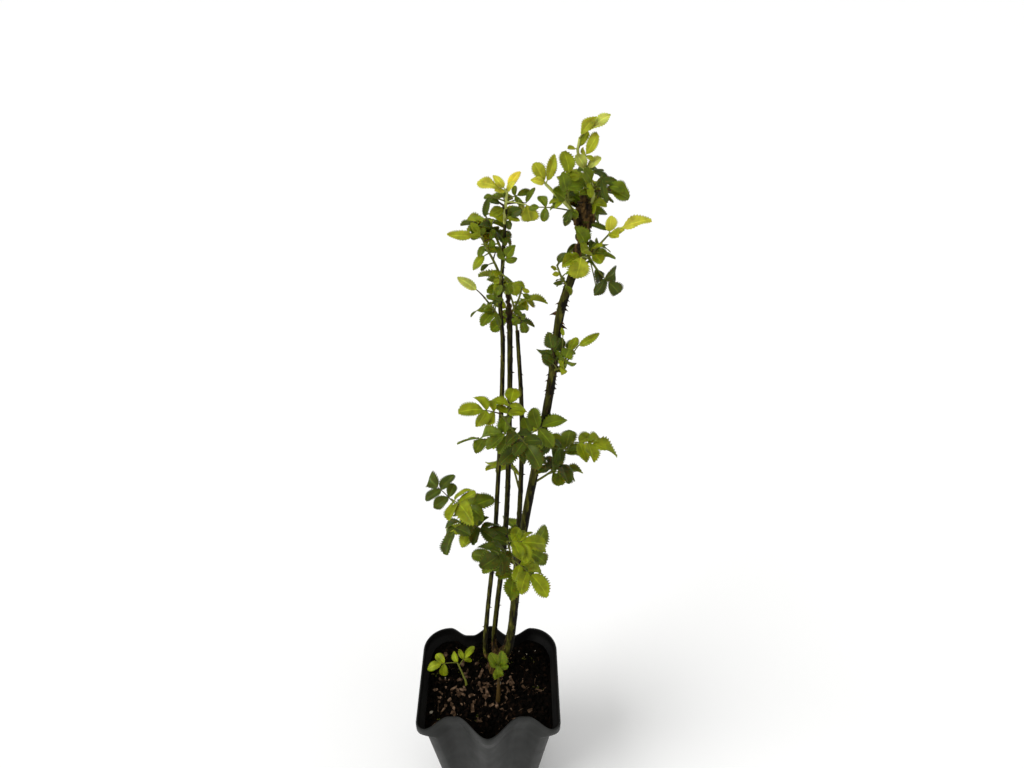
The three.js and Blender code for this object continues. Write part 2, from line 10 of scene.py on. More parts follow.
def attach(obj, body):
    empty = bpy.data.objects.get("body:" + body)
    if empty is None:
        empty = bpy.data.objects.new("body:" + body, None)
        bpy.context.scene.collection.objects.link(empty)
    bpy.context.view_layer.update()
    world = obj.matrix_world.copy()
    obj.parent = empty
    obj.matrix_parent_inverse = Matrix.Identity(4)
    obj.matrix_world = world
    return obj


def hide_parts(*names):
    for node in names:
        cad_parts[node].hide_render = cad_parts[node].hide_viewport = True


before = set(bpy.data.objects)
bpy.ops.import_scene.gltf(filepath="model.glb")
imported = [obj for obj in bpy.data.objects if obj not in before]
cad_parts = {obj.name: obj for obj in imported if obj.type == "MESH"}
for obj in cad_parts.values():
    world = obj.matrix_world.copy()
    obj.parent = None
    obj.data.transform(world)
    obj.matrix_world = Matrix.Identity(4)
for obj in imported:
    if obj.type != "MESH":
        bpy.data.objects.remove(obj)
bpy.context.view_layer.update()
mm = 0.001  # everything below is worked out in millimetres
up = Vector((0, 0, 1))
front = Vector((0, -1, 0))
print("frame loaded:", len(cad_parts), "nodes")


# small helpers

lastPlace = 0.9999  # just short of a list's end


def toLinear(colour):
    # a screen colour, 0 to 255, as the linear one that shaders want
    return [(c / 255 + 0.055) ** 2.4 / 1.055 ** 2.4 if c > 10 else c / 3294.6 for c in colour] + [1]


def mix(a, b, t):
    return a + (b - a) * t


def blendList(values, t):
    place = min(t, lastPlace) * (len(values) - 1)
    index = int(place)
    return mix(values[index], values[index + 1], place - index)


def shares(steps):
    return [i / steps for i in range(steps + 1)]


def heading(angle, rise=0):
    return Vector((cos(angle), sin(angle), rise))


def turned(a, b, angle):
    # a turned by an angle towards b
    return a * cos(angle) + b * sin(angle)


def newBag():
    return {"points": [], "faces": [], "slots": []}


def addFace(bag, corners, slot):
    bag["faces"].append(corners)
    bag["slots"].append(slot)


def addBand(bag, first, count, slot):
    # faces from one closed row of points to the row after it
    for i in range(count):
        a, b = first + i, first + (i + 1) % count
        addFace(bag, (a, b, b + count, a + count), slot)


def addFan(bag, middle, first, count, slot):
    # faces from a new point out to a closed row of points
    tip = len(bag["points"])
    bag["points"].append(middle)
    for i in range(count):
        addFace(bag, (tip, first + i, first + (i + 1) % count), slot)


def addObject(name, data):
    thing = bpy.data.objects.new(name, data)
    bpy.context.scene.collection.objects.link(thing)
    return thing


def makePiece(name, bag, materials, nodes, smooth=True):
    mesh = bpy.data.meshes.new(name)
    mesh.from_pydata([p * mm for p in bag["points"]], [], bag["faces"])
    for material in materials:
        mesh.materials.append(material)
    mesh.polygons.foreach_set("material_index", bag["slots"])
    mesh.polygons.foreach_set("use_smooth", [smooth] * len(bag["faces"]))
    tidy = bmesh.new()
    tidy.from_mesh(mesh)
    bmesh.ops.recalc_face_normals(tidy, faces=tidy.faces)
    tidy.to_mesh(mesh)
    tidy.free()
    piece = addObject(name, mesh)
    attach(piece, "root")
    if nodes:
        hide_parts(*nodes)


# curves: the same ones as the part's own source uses

def curvePoint(points, t):
    place = min(max(t, 0), 1) * (len(points) - 1)
    i = min(int(place), len(points) - 2)
    w = place - i
    p1, p2 = points[i], points[i + 1]
    p0 = points[i - 1] if i > 0 else p1 * 2 - p2
    p3 = points[i + 2] if i + 2 < len(points) else p2 * 2 - p1
    d0, d1, d2 = (p1 - p0).length ** 0.5, (p2 - p1).length ** 0.5, (p3 - p2).length ** 0.5
    leave = ((p1 - p0) / d0 - (p2 - p0) / (d0 + d1) + (p2 - p1) / d1) * d1
    arrive = ((p2 - p1) / d1 - (p3 - p1) / (d1 + d2) + (p3 - p2) / d2) * d1
    a = p1 * 2 - p2 * 2 + leave + arrive
    b = p2 * 3 - p1 * 3 - leave * 2 - arrive
    return ((a * w + b) * w + leave) * w + p1


def bowPoint(a, b, c, t):
    return a * (1 - t) ** 2 + b * (2 * t * (1 - t)) + c * t * t


def bowAlong(a, b, c, t):
    return ((b - a) * (1 - t) + (c - b) * t).normalized()


steep = 0.9  # a limb that rises by more than this share of its way starts its rings from +X


def sweep(bag, points, radii, sides, slot, relief=None, cap=None):
    # a tube through the points, with no twist; relief(place, angle) scales the radius
    side = None
    start = len(bag["points"])
    last = len(points) - 1
    frames = []
    for i, centre in enumerate(points):
        along = (points[min(i + 1, last)] - points[max(i - 1, 0)]).normalized()
        if side is None:
            side = Vector((1, 0, 0)) if abs(along.z) > steep else up.copy()
        side = (side - along * side.dot(along)).normalized()
        across = along.cross(side)
        frames.append((centre, along, side, across))
        for k in range(sides):
            angle = 2 * pi * k / sides
            out = turned(side, across, angle)
            radius = radii[i]
            if relief:
                radius *= relief(centre + out * radius, angle)
            bag["points"].append(centre + out * radius)
    for i in range(last):
        addBand(bag, start + i * sides, sides, slot)
    for ring, endSlot in ((0, slot), (last, slot if cap is None else cap)):
        addFan(bag, points[ring].copy(), start + ring * sides, sides, endSlot)
    return frames


# materials: each a ramp of plain colours dealt out by noise, most with a fine relief

def newMaterial(name, roughness, specular):
    material = bpy.data.materials.new(name)
    material.use_nodes = True
    inputs = material.node_tree.nodes["Principled BSDF"].inputs
    inputs["Roughness"].default_value = roughness
    inputs["Specular IOR Level"].default_value = specular
    return material, inputs


def addNoise(tree, size, detail, stretch=(1, 1, 1)):
    # noise whose blotches are about size millimetres across
    texture = tree.nodes.new("ShaderNodeTexNoise")
    texture.inputs["Scale"].default_value = 1 / (size * mm)
    texture.inputs["Detail"].default_value = detail
    mapping = tree.nodes.new("ShaderNodeMapping")
    mapping.inputs["Scale"].default_value = stretch
    place = tree.nodes.new("ShaderNodeTexCoord")
    tree.links.new(place.outputs["Object"], mapping.inputs["Vector"])
    tree.links.new(mapping.outputs["Vector"], texture.inputs["Vector"])
    return texture.outputs["Fac"]


def makePatterned(name, stops, finish):
    # blotches and grain each give addNoise its size, detail and stretch
    material, inputs = newMaterial(name, finish["roughness"], finish["specular"])
    tree = material.node_tree
    ramp = tree.nodes.new("ShaderNodeValToRGB")
    while len(ramp.color_ramp.elements) < len(stops):
        ramp.color_ramp.elements.new(0.5)
    for element, (position, colour) in zip(ramp.color_ramp.elements, stops):
        element.position = position
        element.color = toLinear(colour)
    tree.links.new(addNoise(tree, *finish["blotches"]), ramp.inputs["Fac"])
    tree.links.new(ramp.outputs["Color"], inputs["Base Color"])
    if "grain" in finish:
        bump = tree.nodes.new("ShaderNodeBump")
        bump.inputs["Distance"].default_value = finish["depth"] * mm
        bump.inputs["Strength"].default_value = finish["strength"]
        tree.links.new(addNoise(tree, *finish["grain"]), bump.inputs["Height"])
        tree.links.new(bump.outputs["Normal"], inputs["Normal"])
    return material, inputs


def makeLooks(looks, finish):
    return [makePatterned(name, stops, finish)[0] for name, stops in looks.items()]


def shade(colour, factor):
    return [min(255, c * factor) for c in colour]


def paler(colour, share):
    return [mix(c, g, share) for c, g in zip(colour, (150, 160, 70))]


# each tone's colour and roughness
leafTones = {
    "golden": ((202, 186, 46), 0.5),
    "young": ((186, 186, 56), 0.5),
    "lime": ((172, 180, 78), 0.5),
    "fresh": ((146, 152, 30), 0.5),
    "bright": ((122, 134, 14), 0.48),
    "middle": ((90, 106, 12), 0.46),
    "dark": ((62, 76, 10), 0.44),
}
toneNames = list(leafTones)
leafKinds = ("Top", "Under", "Rib")
leafFinish = {
    "specular": 0.14, "blotches": (6, 4), "grain": (0.6, 2), "depth": 0.06, "strength": 0.5,
    "glow": 0.15, "glowReach": 0.8,
}


def makeLeafMaterials():
    # three for each tone: the blade's top, its paler underside, and the midrib
    made = []
    for name, (colour, roughness) in leafTones.items():
        kinds = (
            (colour, roughness),
            (paler(colour, 0.25), 0.65),
            (paler(shade(colour, 1.2), 0.15), 0.5),
        )
        for kind, (base, roughness) in zip(leafKinds, kinds):
            stops = [(0.3, shade(base, 0.8)), (0.5, base), (0.72, shade(base, 1.14))]
            finish = {**leafFinish, "roughness": roughness}
            material, inputs = makePatterned(name + "Leaf" + kind, stops, finish)
            inputs["Subsurface Weight"].default_value = leafFinish["glow"]
            inputs["Subsurface Scale"].default_value = leafFinish["glowReach"] * mm
            made.append(material)
    return made


def leafSlot(tone, kind):
    return toneNames.index(tone) * len(leafKinds) + leafKinds.index(kind)


shootColours = {"greenShoot": (100, 104, 36), "redShoot": (66, 50, 20), "youngShoot": (172, 178, 92)}
shootFinish = {"roughness": 0.5, "specular": 0.15, "blotches": (3, 3, (1, 1, 0.3))}
shootLooks = {
    name: [(0.3, shade(colour, 0.75)), (0.55, colour), (0.8, shade(colour, 1.2))]
    for name, colour in shootColours.items()
}
greenShoot, redShoot, youngShoot = range(3)

# green wood, old grey-brown wood, prickles, the pale wood of a cut, and painted shade: darker wood for the
# canes' right side, away from the key light
barkLooks = {
    "greenWood": [(0.28, (20, 16, 4)), (0.44, (40, 38, 8)), (0.58, (60, 60, 14)), (0.74, (96, 90, 34))],
    "oldWood": [(0.3, (10, 7, 4)), (0.45, (40, 29, 13)), (0.6, (84, 63, 31)), (0.76, (142, 114, 70))],
    "prickle": [(0.3, (34, 24, 11)), (0.55, (60, 40, 19)), (0.8, (98, 66, 34))],
    "cutWood": [(0.3, (92, 72, 42)), (0.55, (132, 108, 68)), (0.8, (164, 142, 98))],
    # painted shade: the darker colours given to the canes' right side
    "paintedShadeWood": [(0.3, (8, 6, 3)), (0.5, (16, 13, 5)), (0.65, (28, 23, 8)), (0.8, (48, 40, 17))],
}
barkFinish = {
    "roughness": 0.7, "specular": 0.08, "blotches": (2.6, 6, (1, 1, 0.22)),
    "grain": (1.1, 5, (1, 1, 0.35)), "depth": 0.25, "strength": 0.6,
}
greenWood, oldWood, prickleWood, cutWood, paintedShadeWood = range(5)

# the plastic outside, and the same plastic painted much darker inside as painted shade
potLooks = {
    "mouldedPotPlastic": [
        (0.3, (22, 23, 21)), (0.55, (27, 28, 26)), (0.72, (31, 32, 29)), (0.9, (44, 43, 38)),
    ],
    # painted shade: near-black plastic for the inner walls and floor
    "paintedShadePotPlastic": [(0.3, (7, 6, 5)), (0.55, (12, 11, 9)), (0.75, (22, 18, 13)), (0.9, (40, 32, 22))],
}
potFinish = {
    "roughness": 0.52, "specular": 0.25, "blotches": (26, 6),
    "grain": (0.9, 4), "depth": 0.05, "strength": 0.5, "gloss": (14, 5), "smoothest": 0.42, "roughest": 0.66,
}
outside, inside = range(2)


def makePotMaterials():
    made = []
    for name, stops in potLooks.items():
        material, inputs = makePatterned(name, stops, potFinish)
        tree = material.node_tree
        gloss = tree.nodes.new("ShaderNodeMapRange")
        gloss.inputs["To Min"].default_value = potFinish["smoothest"]
        gloss.inputs["To Max"].default_value = potFinish["roughest"]
        tree.links.new(addNoise(tree, *potFinish["gloss"]), gloss.inputs["Value"])
        tree.links.new(gloss.outputs["Result"], inputs["Roughness"])
        made.append(material)
    return made


soilLooks = {
    "darkPeat": [(0.35, (1, 1, 0)), (0.55, (8, 5, 3)), (0.7, (26, 16, 9)), (0.85, (54, 38, 24))],
    "barkChip": [(0.3, (34, 24, 16)), (0.5, (72, 55, 40)), (0.8, (140, 114, 92))],
    "paleGrain": [(0.3, (104, 98, 86)), (0.55, (146, 138, 122)), (0.8, (184, 176, 160))],
    "moss": [(0.3, (34, 38, 12)), (0.55, (70, 72, 26)), (0.8, (108, 104, 48))],
}
soilFinish = {
    "roughness": 0.95, "specular": 0.04, "blotches": (4, 5),
    "grain": (0.8, 4), "depth": 0.3, "strength": 0.8,
}
leafMaterials = makeLeafMaterials()
shootMaterials = makeLooks(shootLooks, shootFinish)
barkMaterials = makeLooks(barkLooks, barkFinish)
potMaterials = makePotMaterials()
darkPeat, barkChip, paleGrain, moss = makeLooks(soilLooks, soilFinish)
print("materials made")


# the pot: a thin square shell with two flutes in its front and back walls and a flared lip

pot = {
    "height": 150, "wall": 1.7, "floor": 2.5, "lipDrop": 8, "neckDrop": 19,
    "rim": {"halfWidth": 67, "halfDepth": 60, "corner": 9, "backCorner": 26, "wave": 1},
    "neck": {"halfWidth": 60, "halfDepth": 57, "corner": 12, "backCorner": 25, "wave": 0.9},
    "base": {"halfWidth": 43, "halfDepth": 44, "corner": 14, "backCorner": 18, "wave": 0.3},
    "frontWave": [(0, -2.5), (30, 19.5), (37, 19.5), (59, 7)],
    "backWave": [(0, -2.5), (18, 9), (24, 9), (41, 0)],
    "leastCorner": 3, "frontSteps": 96, "cornerSteps": 14, "rows": 26, "flareRows": 6,
    "bodyFoot": 1.1, "neckRound": 2, "floorRound": 1,
    # each ring of a rounded edge: how far in, and how far up from the floor or down from the top
    "footEdge": [(1.2, 0), (0.35, 0.3)], "lipEdge": [(0, 0.8), (0.25, 0.22), (0.7, 0)],
    "innerEdge": [(-0.5, 0), (0, 0.5), (0, 2)],
}


def easeBetween(rows, place):
    # depth at a place across the face, smooth from row to row and level beyond the last
    for (a, low), (b, high) in zip(rows, rows[1:]):
        if place < b:
            t = (place - a) / (b - a)
            return mix(low, high, t * t * (3 - 2 * t))
    return rows[-1][1]


def potOutline(shape, inset, z):
    halfWidth, halfDepth = shape["halfWidth"], shape["halfDepth"]

    def waveAt(x, face):
        rows = pot["frontWave"] if face < 0 else pot["backWave"]
        return shape["wave"] * easeBetween(rows, abs(x) * pot["rim"]["halfWidth"] / halfWidth)

    def cornerAt(side, face):
        radius = shape["corner"] if face < 0 else shape["backCorner"]
        x = halfWidth - radius
        y = face * (halfDepth - waveAt(x, face) - radius)
        return max(radius - inset, pot["leastCorner"]), side * x, y

    points = []
    steps = pot["cornerSteps"]
    for face in (-1, 1):
        straight = abs(cornerAt(1, face)[1])
        for share in shares(pot["frontSteps"]):
            x = face * mix(straight, -straight, share)
            points.append(Vector((x, face * (halfDepth - inset - waveAt(x, face)), z)))
        for i in range(1, 2 * steps + 1):
            radius, x, y = cornerAt(-face, face) if i <= steps else cornerAt(-face, -face)
            angle = face * pi / 2 + pi * (i if i <= steps else i - 1) / (2 * steps)
            points.append(Vector((x + radius * cos(angle), y + radius * sin(angle), z)))
    return points


def bodyAt(z):
    # the tapering body up to the neck, then the flare up to the lip
    neckTop = pot["height"] - pot["neckDrop"]
    lipFoot = pot["height"] - pot["lipDrop"]
    if z < neckTop:
        low, high, t = pot["base"], pot["neck"], z / neckTop
    else:
        low, high, t = pot["neck"], pot["rim"], min((z - neckTop) / (lipFoot - neckTop), 1)
    return {key: mix(low[key], high[key], t) for key in high}


def loft(bag, rings, slots):
    # a skin through the rings, closed at both ends; slots gives each band its material
    start, count, last = len(bag["points"]), len(rings[0]), len(rings) - 1
    for ring in rings:
        bag["points"].extend(ring)
    for row in range(last):
        addBand(bag, start + row * count, count, slots[row])
    for row in (0, last):
        addFan(bag, Vector((0, 0, rings[row][0].z)), start + row * count, count, slots[row])


def makePot():
    top, wall, rim = pot["height"], pot["wall"], pot["rim"]
    lipFoot, neckTop = top - pot["lipDrop"], top - pot["neckDrop"]
    levels = [mix(pot["bodyFoot"], neckTop - pot["neckRound"], share) for share in shares(pot["rows"])]
    levels += [mix(neckTop, lipFoot, share) for share in shares(pot["flareRows"])]
    rings = [potOutline(pot["base"], inset, z) for inset, z in pot["footEdge"]]
    rings += [potOutline(bodyAt(z), 0, z) for z in levels]
    rings += [potOutline(rim, inset, top - down) for inset, down in pot["lipEdge"]]
    outerCount = len(rings)
    rings += [potOutline(rim, wall + inset, top - down) for inset, down in pot["innerEdge"]]
    levels = [z for z in reversed(levels) if z > pot["floor"] + pot["floorRound"]]
    rings += [potOutline(bodyAt(z), wall, z) for z in levels + [pot["floor"]]]
    bag = newBag()
    # the inner walls and floor take the plastic with painted shade
    loft(bag, rings, [outside] * outerCount + [inside] * (len(rings) - outerCount))
    makePiece("nurseryPot", bag, potMaterials, ["pot"])


makePot()
print("pot made")


# the compost, with its bark chips, fibres, pale grains and moss

compost = {
    "drop": 15, "clearance": 0.35, "sideRings": 5, "topRings": 60, "edgeDrop": 4, "seed": 41,
    # the top's waves: their scale, their layer of the noise, and their share of the relief
    "relief": 2.6, "waves": [(0.035, 3, 0.5), (0.13, 17, 0.45), (0.42, 29, 0.3)], "sink": 0.6,
    "hollow": 6, "hollowAt": (2, -44), "hollowSpread": 400,
    "crumbs": 3000, "chips": 80, "lumps": 60, "lumpSize": (1.2, 3),
    "thickest": (-10, -4), "spread": (24, 22),
    # place, length and heading of the long chips, then place and size of the large grains
    "longChips": [
        ((28, -33), 14, 20), ((-16, -20), 12, 95), ((-9, 16), 11, 70),
        ((22, 8), 9, 120), ((-34, -24), 9, 80),
    ],
    "largeGrains": [(9, 5, 2.1), (-55, -26, 1.8), (1, -40, 1.2)], "grains": 14, "grainSize": (0.4, 0.9),
    "fibres": 60, "fibreRadius": 0.2, "fibreReach": (3, 7.5),
    "mossPatches": 9, "mossTufts": 16, "tuftSize": (0.35, 1), "mossSpread": (3.6, 2),
}
compostTop = pot["height"] - compost["drop"]
soilInset = pot["wall"] + compost["clearance"]


def soilPoint(x, y, above=0):
    waves = compost["waves"]
    relief = sum(share * noise.noise(Vector((x, y, layer)) * scale) for scale, layer, share in waves)
    away = (x - compost["hollowAt"][0]) ** 2 + (y - compost["hollowAt"][1]) ** 2
    hollow = compost["hollow"] * exp(-away / compost["hollowSpread"])
    return Vector((x, y, compostTop + compost["relief"] * relief - compost["sink"] - hollow + above))


def makeCompost():
    bag = newBag()
    low, high = pot["floor"] + compost["clearance"], compostTop - compost["edgeDrop"]
    levels = [mix(low, high, share) for share in shares(compost["sideRings"])]
    rings = [potOutline(bodyAt(z), soilInset, z) for z in levels]
    edge = potOutline(bodyAt(compostTop), soilInset, 0)
    for i in range(compost["topRings"]):
        share = 1 - i / compost["topRings"]
        rings.append([soilPoint(p.x * share, p.y * share) for p in edge])
    loft(bag, rings, [0] * len(rings))
    bag["points"][-1] = soilPoint(0, 0)
    makePiece("compostBed", bag, [darkPeat], ["compost"])


# a crumb has twenty faces: its corners are those of an icosahedron, with edges 2 long
golden = (1 + 5 ** 0.5) / 2
turns = [(a, b) for b in (golden, -golden) for a in (-1, 1)]
crumbCorners = [Vector((a, b, 0)) for a, b in turns]
crumbCorners += [Vector((0, a, b)) for a, b in turns]
crumbCorners += [Vector((b, 0, a)) for a, b in turns]


def areNeighbours(i, j):
    return (crumbCorners[i] - crumbCorners[j]).length < 1 + golden


crumbSides = [
    (i, j, k) for i, j, k in combinations(range(len(crumbCorners)), 3)
    if areNeighbours(i, j) and areNeighbours(j, k) and areNeighbours(i, k)
]


def addCrumb(bag, centre, size, flat, slot, dice):
    start = len(bag["points"])
    turn = dice.uniform(0, pi)
    c, s = cos(turn), sin(turn)
    stretch = dice.uniform(0.7, 1.5)
    for corner in crumbCorners:
        p = corner.normalized() * size * dice.uniform(0.75, 1.2)
        p = Vector((p.x * stretch, p.y / stretch, p.z * flat))
        bag["points"].append(centre + Vector((p.x * c - p.y * s, p.x * s + p.y * c, p.z)))
    for side in crumbSides:
        addFace(bag, tuple(start + i for i in side), slot)


def addChip(bag, centre, length, dice, angle=None):
    # a splinter of bark: a flat bar with ragged corners
    angle = dice.uniform(0, pi) if angle is None else radians(angle)
    along = heading(angle, dice.uniform(-0.35, 0.35)).normalized()
    across = along.cross(up).normalized()
    normal = across.cross(along)
    width, thick = length * dice.uniform(0.2, 0.42), length * dice.uniform(0.08, 0.16)
    start = len(bag["points"])
    for a in (-0.5, 0.5):
        for b in (-0.5, 0.5):
            for c in (-0.5, 0.5):
                p = along * (a * length * dice.uniform(0.75, 1.1))
                p = p + across * (b * width * dice.uniform(0.6, 1.1))
                bag["points"].append(centre + p + normal * (c * thick))
    for side in ((0, 1, 3, 2), (4, 6, 7, 5), (0, 4, 5, 1), (2, 3, 7, 6), (0, 2, 6, 4), (1, 5, 7, 3)):
        addFace(bag, tuple(start + i for i in side), 0)


def isInside(outline, x, y):
    crossings = 0
    for p, q in zip(outline, outline[1:] + outline[:1]):
        if (p.y > y) != (q.y > y) and x < p.x + (y - p.y) * (q.x - p.x) / (q.y - p.y):
            crossings += 1
    return crossings % 2 == 1


def makeSoilBits():
    # every bit lies inside the pot's wall by its own size
    dice = random.Random(compost["seed"])
    crumbs, chips, specks = newBag(), newBag(), newBag()
    tight, near, far = 1.2, 3, 8
    brim = bodyAt(compostTop)
    outlines = {margin: potOutline(brim, soilInset + margin, 0) for margin in (tight, near, far)}

    def evenSpot(margin):
        while True:
            x, y = dice.uniform(-60, 60), dice.uniform(-58, 58)
            if isInside(outlines[margin], x, y):
                return soilPoint(x, y)

    def barkSpot():
        # bark lies thickest a little left of the middle
        while True:
            x, y = map(dice.gauss, compost["thickest"], compost["spread"])
            if isInside(outlines[far], x, y):
                return soilPoint(x, y)

    for i in range(compost["crumbs"]):
        size = 0.5 + 2.2 * dice.random() ** 3
        place = evenSpot(tight if size < tight else near)
        addCrumb(crumbs, place + up * size * 0.25, size, 0.75, 0, dice)
    for i in range(compost["chips"]):
        length = 2.5 + 8 * dice.random() ** 2
        addChip(chips, barkSpot() + up * dice.uniform(0.4, 1.4), length, dice)
    for (x, y), length, angle in compost["longChips"]:
        addChip(chips, soilPoint(x, y, 1.4), length, dice, angle)
    for i in range(compost["lumps"]):
        size = dice.uniform(*compost["lumpSize"])
        addCrumb(chips, barkSpot() + up * size * 0.4, size, 0.8, 0, dice)
    for i in range(compost["fibres"]):
        at = evenSpot(far) + up * dice.uniform(0.3, 1.2)
        angle = dice.uniform(0, 2 * pi)
        reach = heading(angle) * dice.uniform(*compost["fibreReach"])
        bend = at + reach * 0.5 + up * dice.uniform(0.4, 1.8)
        points = [bowPoint(at, bend, at + reach, share) for share in shares(5)]
        sweep(chips, points, [compost["fibreRadius"]] * len(points), 4, 0)
    for i in range(compost["grains"]):
        size = dice.uniform(*compost["grainSize"])
        addCrumb(specks, evenSpot(near) + up * size * 0.7, size, 0.9, 0, dice)
    for x, y, size in compost["largeGrains"]:
        addCrumb(specks, soilPoint(x, y, size * 0.7), size, 0.9, 0, dice)
    for i in range(compost["mossPatches"]):
        middle = evenSpot(far)
        for k in range(compost["mossTufts"]):
            x, y = map(dice.gauss, (middle.x, middle.y), compost["mossSpread"])
            size = dice.uniform(*compost["tuftSize"])
            if isInside(outlines[tight], x, y):
                addCrumb(specks, soilPoint(x, y, 0.5), size, 0.6, 1, dice)
    makePiece("peatCrumbs", crumbs, [darkPeat], [])
    makePiece("barkChips", chips, [barkChip], [], smooth=False)
    makePiece("soilSpecks", specks, [paleGrain, moss], [])


makeCompost()
makeSoilBits()
print("compost made")


# the woody parts: root crown, four canes, their prickles and the stubs of old cuts

noKnobs = 900  # a height above every cane
wood = {
    "crownAt": Vector((6, 22, compostTop + compost["clearance"])), "crownHeight": 22, "crownSink": 3,
    "crownRadii": [9.5, 7.5, 6.4, 7, 5.6], "forkShare": 0.6, "collarShare": 1.25, "armShare": 1.02,
    "stubSwell": 0.12, "sides": 22, "ringGap": 2.4, "scarGap": 31, "scarReach": 1.5, "firstScar": 18,
    "lastScar": 6, "grain": 0.06, "lump": 0.06, "scar": 0.16, "knob": 0.8, "oldFoot": 12,
    # where the painted shade on the canes' right side begins, and how far its edge wanders
    "oldPatches": -0.35, "paintedShadeFrom": 0.15, "paintedShadeWander": 0.8, "seed": 7,
}
prickle = {
    "gap": 8.5, "first": 6, "last": 4, "seated": 0.95, "height": 0.5, "width": 0.2, "tipDrop": 0.52,
    # rows up the spike, in shares of its size: how far out, how broad, how far along the cane
    "rows": [(-0.15, 1, 0), (0.14, 0.72, -0.03), (0.4, 0.42, -0.12), (0.72, 0.2, -0.3)],
}
# a thorn is a height, a turn and a size; a knob is a place and a size; a stub is two ends and a radius
canes = {
    "cane_right": {
        "piece": "caneRight", "foot": (11, 19, 158), "prickles": 3.4, "knobbly": 598,
        "path": [(30, 10, 330), (49, 2, 490), (54.5, -1, 560), (60, 0, 582), (66, 0, 606), (67, 0, 635)],
        "radii": [4.2, 3.9, 3.5, 3.1, 2.9, 2.8, 3.4, 4.6],
        "thorns": [
            (558, 180, 4.6), (547, 0, 4), (565, 190, 2.6), (562, -10, 2.4), (512, 0, 4.2), (620, 185, 3),
        ],
        "bristles": (490, 520, 46),
        "knobs": [
            (67, -1, 632, 3.6), (64.2, -2.4, 631, 2.6), (69.8, -2, 628.5, 2.8), (63.6, -1.5, 625.5, 3),
            (69.4, -2.2, 622, 2.8), (66.4, -3, 628, 2.8), (70.4, 0.6, 632, 2.2), (65, 1.4, 634, 2),
            (62.6, 0, 628.5, 2.4), (61.6, -2.6, 624, 2.4), (67.6, -4.4, 630.6, 1.9), (71.4, -3.2, 625, 1.8),
            (64.8, -4.2, 620.8, 2.2), (71.2, -1.5, 630.5, 1.6),
        ],
        "stubs": [((66.5, 0, 624), (58.5, 1, 628), 2.4), ((67, 0, 628), (65, 4, 640), 2)],
    },
    "cane_left": {
        "piece": "caneLeft", "foot": (1, 19, 157), "prickles": 2.4, "knobbly": noKnobs,
        "path": [(8, 15, 340), (15.5, 11, 526), (14, 12, 558), (16, 12, 590), (18, 12, 626)],
        "radii": [2.6, 2.2, 1.8, 1.5, 1.3, 1],
    },
    "cane_short": {
        "piece": "caneShort", "foot": (5, 28, 157), "prickles": 2.6, "knobbly": 540,
        "path": [(17, 25, 340), (20.5, 17, 530), (19.5, 16, 563)],
        "radii": [2.9, 2.5, 2, 1.9],
    },
    "cane_back": {
        "piece": "caneBack", "foot": (12, 27, 157), "prickles": 2.6, "knobbly": noKnobs,
        "path": [(27, 37, 300), (30, 44, 430), (26, 46, 516)],
        "radii": [3, 2.6, 2, 1.5],
    },
}
limbMarks = []  # a middle and a radius every few millimetres along the wood, for the leaves to keep clear of


def forkPoint():
    return wood["crownAt"] + up * (wood["crownHeight"] * wood["forkShare"])


def canePoints(cane):
    foot = Vector(cane["foot"])
    along = (foot - forkPoint()).normalized()
    line = [foot - along * 1.5, foot + along * (cane["radii"][0] * 3)] + [Vector(p) for p in cane["path"]]
    count = int(dist(cane["foot"], cane["path"][-1]) / wood["ringGap"])
    return [curvePoint(line, share) for share in shares(count)]


def straightLine(a, b, steps):
    return [a + (b - a) * share for share in shares(steps)]


def woodRelief(knobbly=noKnobs, scars=()):
    # fine lengthwise bark, a ring at each old leaf scar, and knobs on the oldest top
    def ringAt(p, angle, z, turn):
        return exp(-((p.z - z) / wood["scarReach"]) ** 2) * (0.5 + 0.5 * cos(angle - turn))

    def relief(p, angle):
        grain = noise.noise(Vector((p.x * 0.9, p.y * 0.9, p.z * 0.16)))
        lump = noise.noise(p * 0.21 + Vector((9, 4, 2)))
        scar = sum(ringAt(p, angle, z, turn) for z, turn in scars)
        knob = noise.noise(p * 0.3 + Vector((3, 1, 7))) if p.z > knobbly else 0
        return 1 + wood["grain"] * grain + wood["lump"] * lump + wood["scar"] * scar + wood["knob"] * knob

    return relief


def addPrickle(bag, base, out, along, size):
    # a broad foot, then a spike that hooks down
    side = along.cross(out).normalized()
    start, count = len(bag["points"]), 8
    for rise, share, slip in prickle["rows"]:
        for k in range(count):
            angle = 2 * pi * k / count
            offset = along * (prickle["height"] * share * cos(angle) + slip)
            offset += side * (prickle["width"] * share * sin(angle))
            bag["points"].append(base + out * (rise * size) + offset * size)
    tip = base + out * size - along * (prickle["tipDrop"] * size)
    last = len(prickle["rows"]) - 1
    for row in range(last):
        addBand(bag, start + row * count, count, prickleWood)
    addFan(bag, tip, start + last * count, count, prickleWood)
    addFace(bag, tuple(start + k for k in range(count)), prickleWood)


def addPrickles(bag, cane, frames, radii, dice):
    def addAt(i, out, size):
        centre, along = frames[i][:2]
        addPrickle(bag, centre + out * radii[i] * prickle["seated"], out, along, size)

    def addAtHeight(height, turn, size):
        # turn 0 points right as the front sees it, 180 left
        i = min(range(len(frames)), key=lambda k: abs(frames[k][0].z - height))
        along = frames[i][1]
        out = heading(radians(turn))
        addAt(i, (out - along * out.dot(along)).normalized(), size)

    step = prickle["gap"] / wood["ringGap"]
    place = prickle["first"]
    while place < len(frames) - prickle["last"]:
        centre, along, side, across = frames[int(place)]
        angle = dice.uniform(0, 2 * pi)
        size = cane["prickles"] * dice.uniform(0.45, 1)
        addAt(int(place), turned(side, across, angle), size)
        place += step * dice.uniform(0.5, 1.5)
    for height, turn, size in cane.get("thorns", []):
        addAtHeight(height, turn, size)
    low, high, count = cane.get("bristles", (0, 0, 0))
    for i in range(count):
        addAtHeight(dice.uniform(low, high), dice.uniform(0, 360), dice.uniform(1, 2.4))


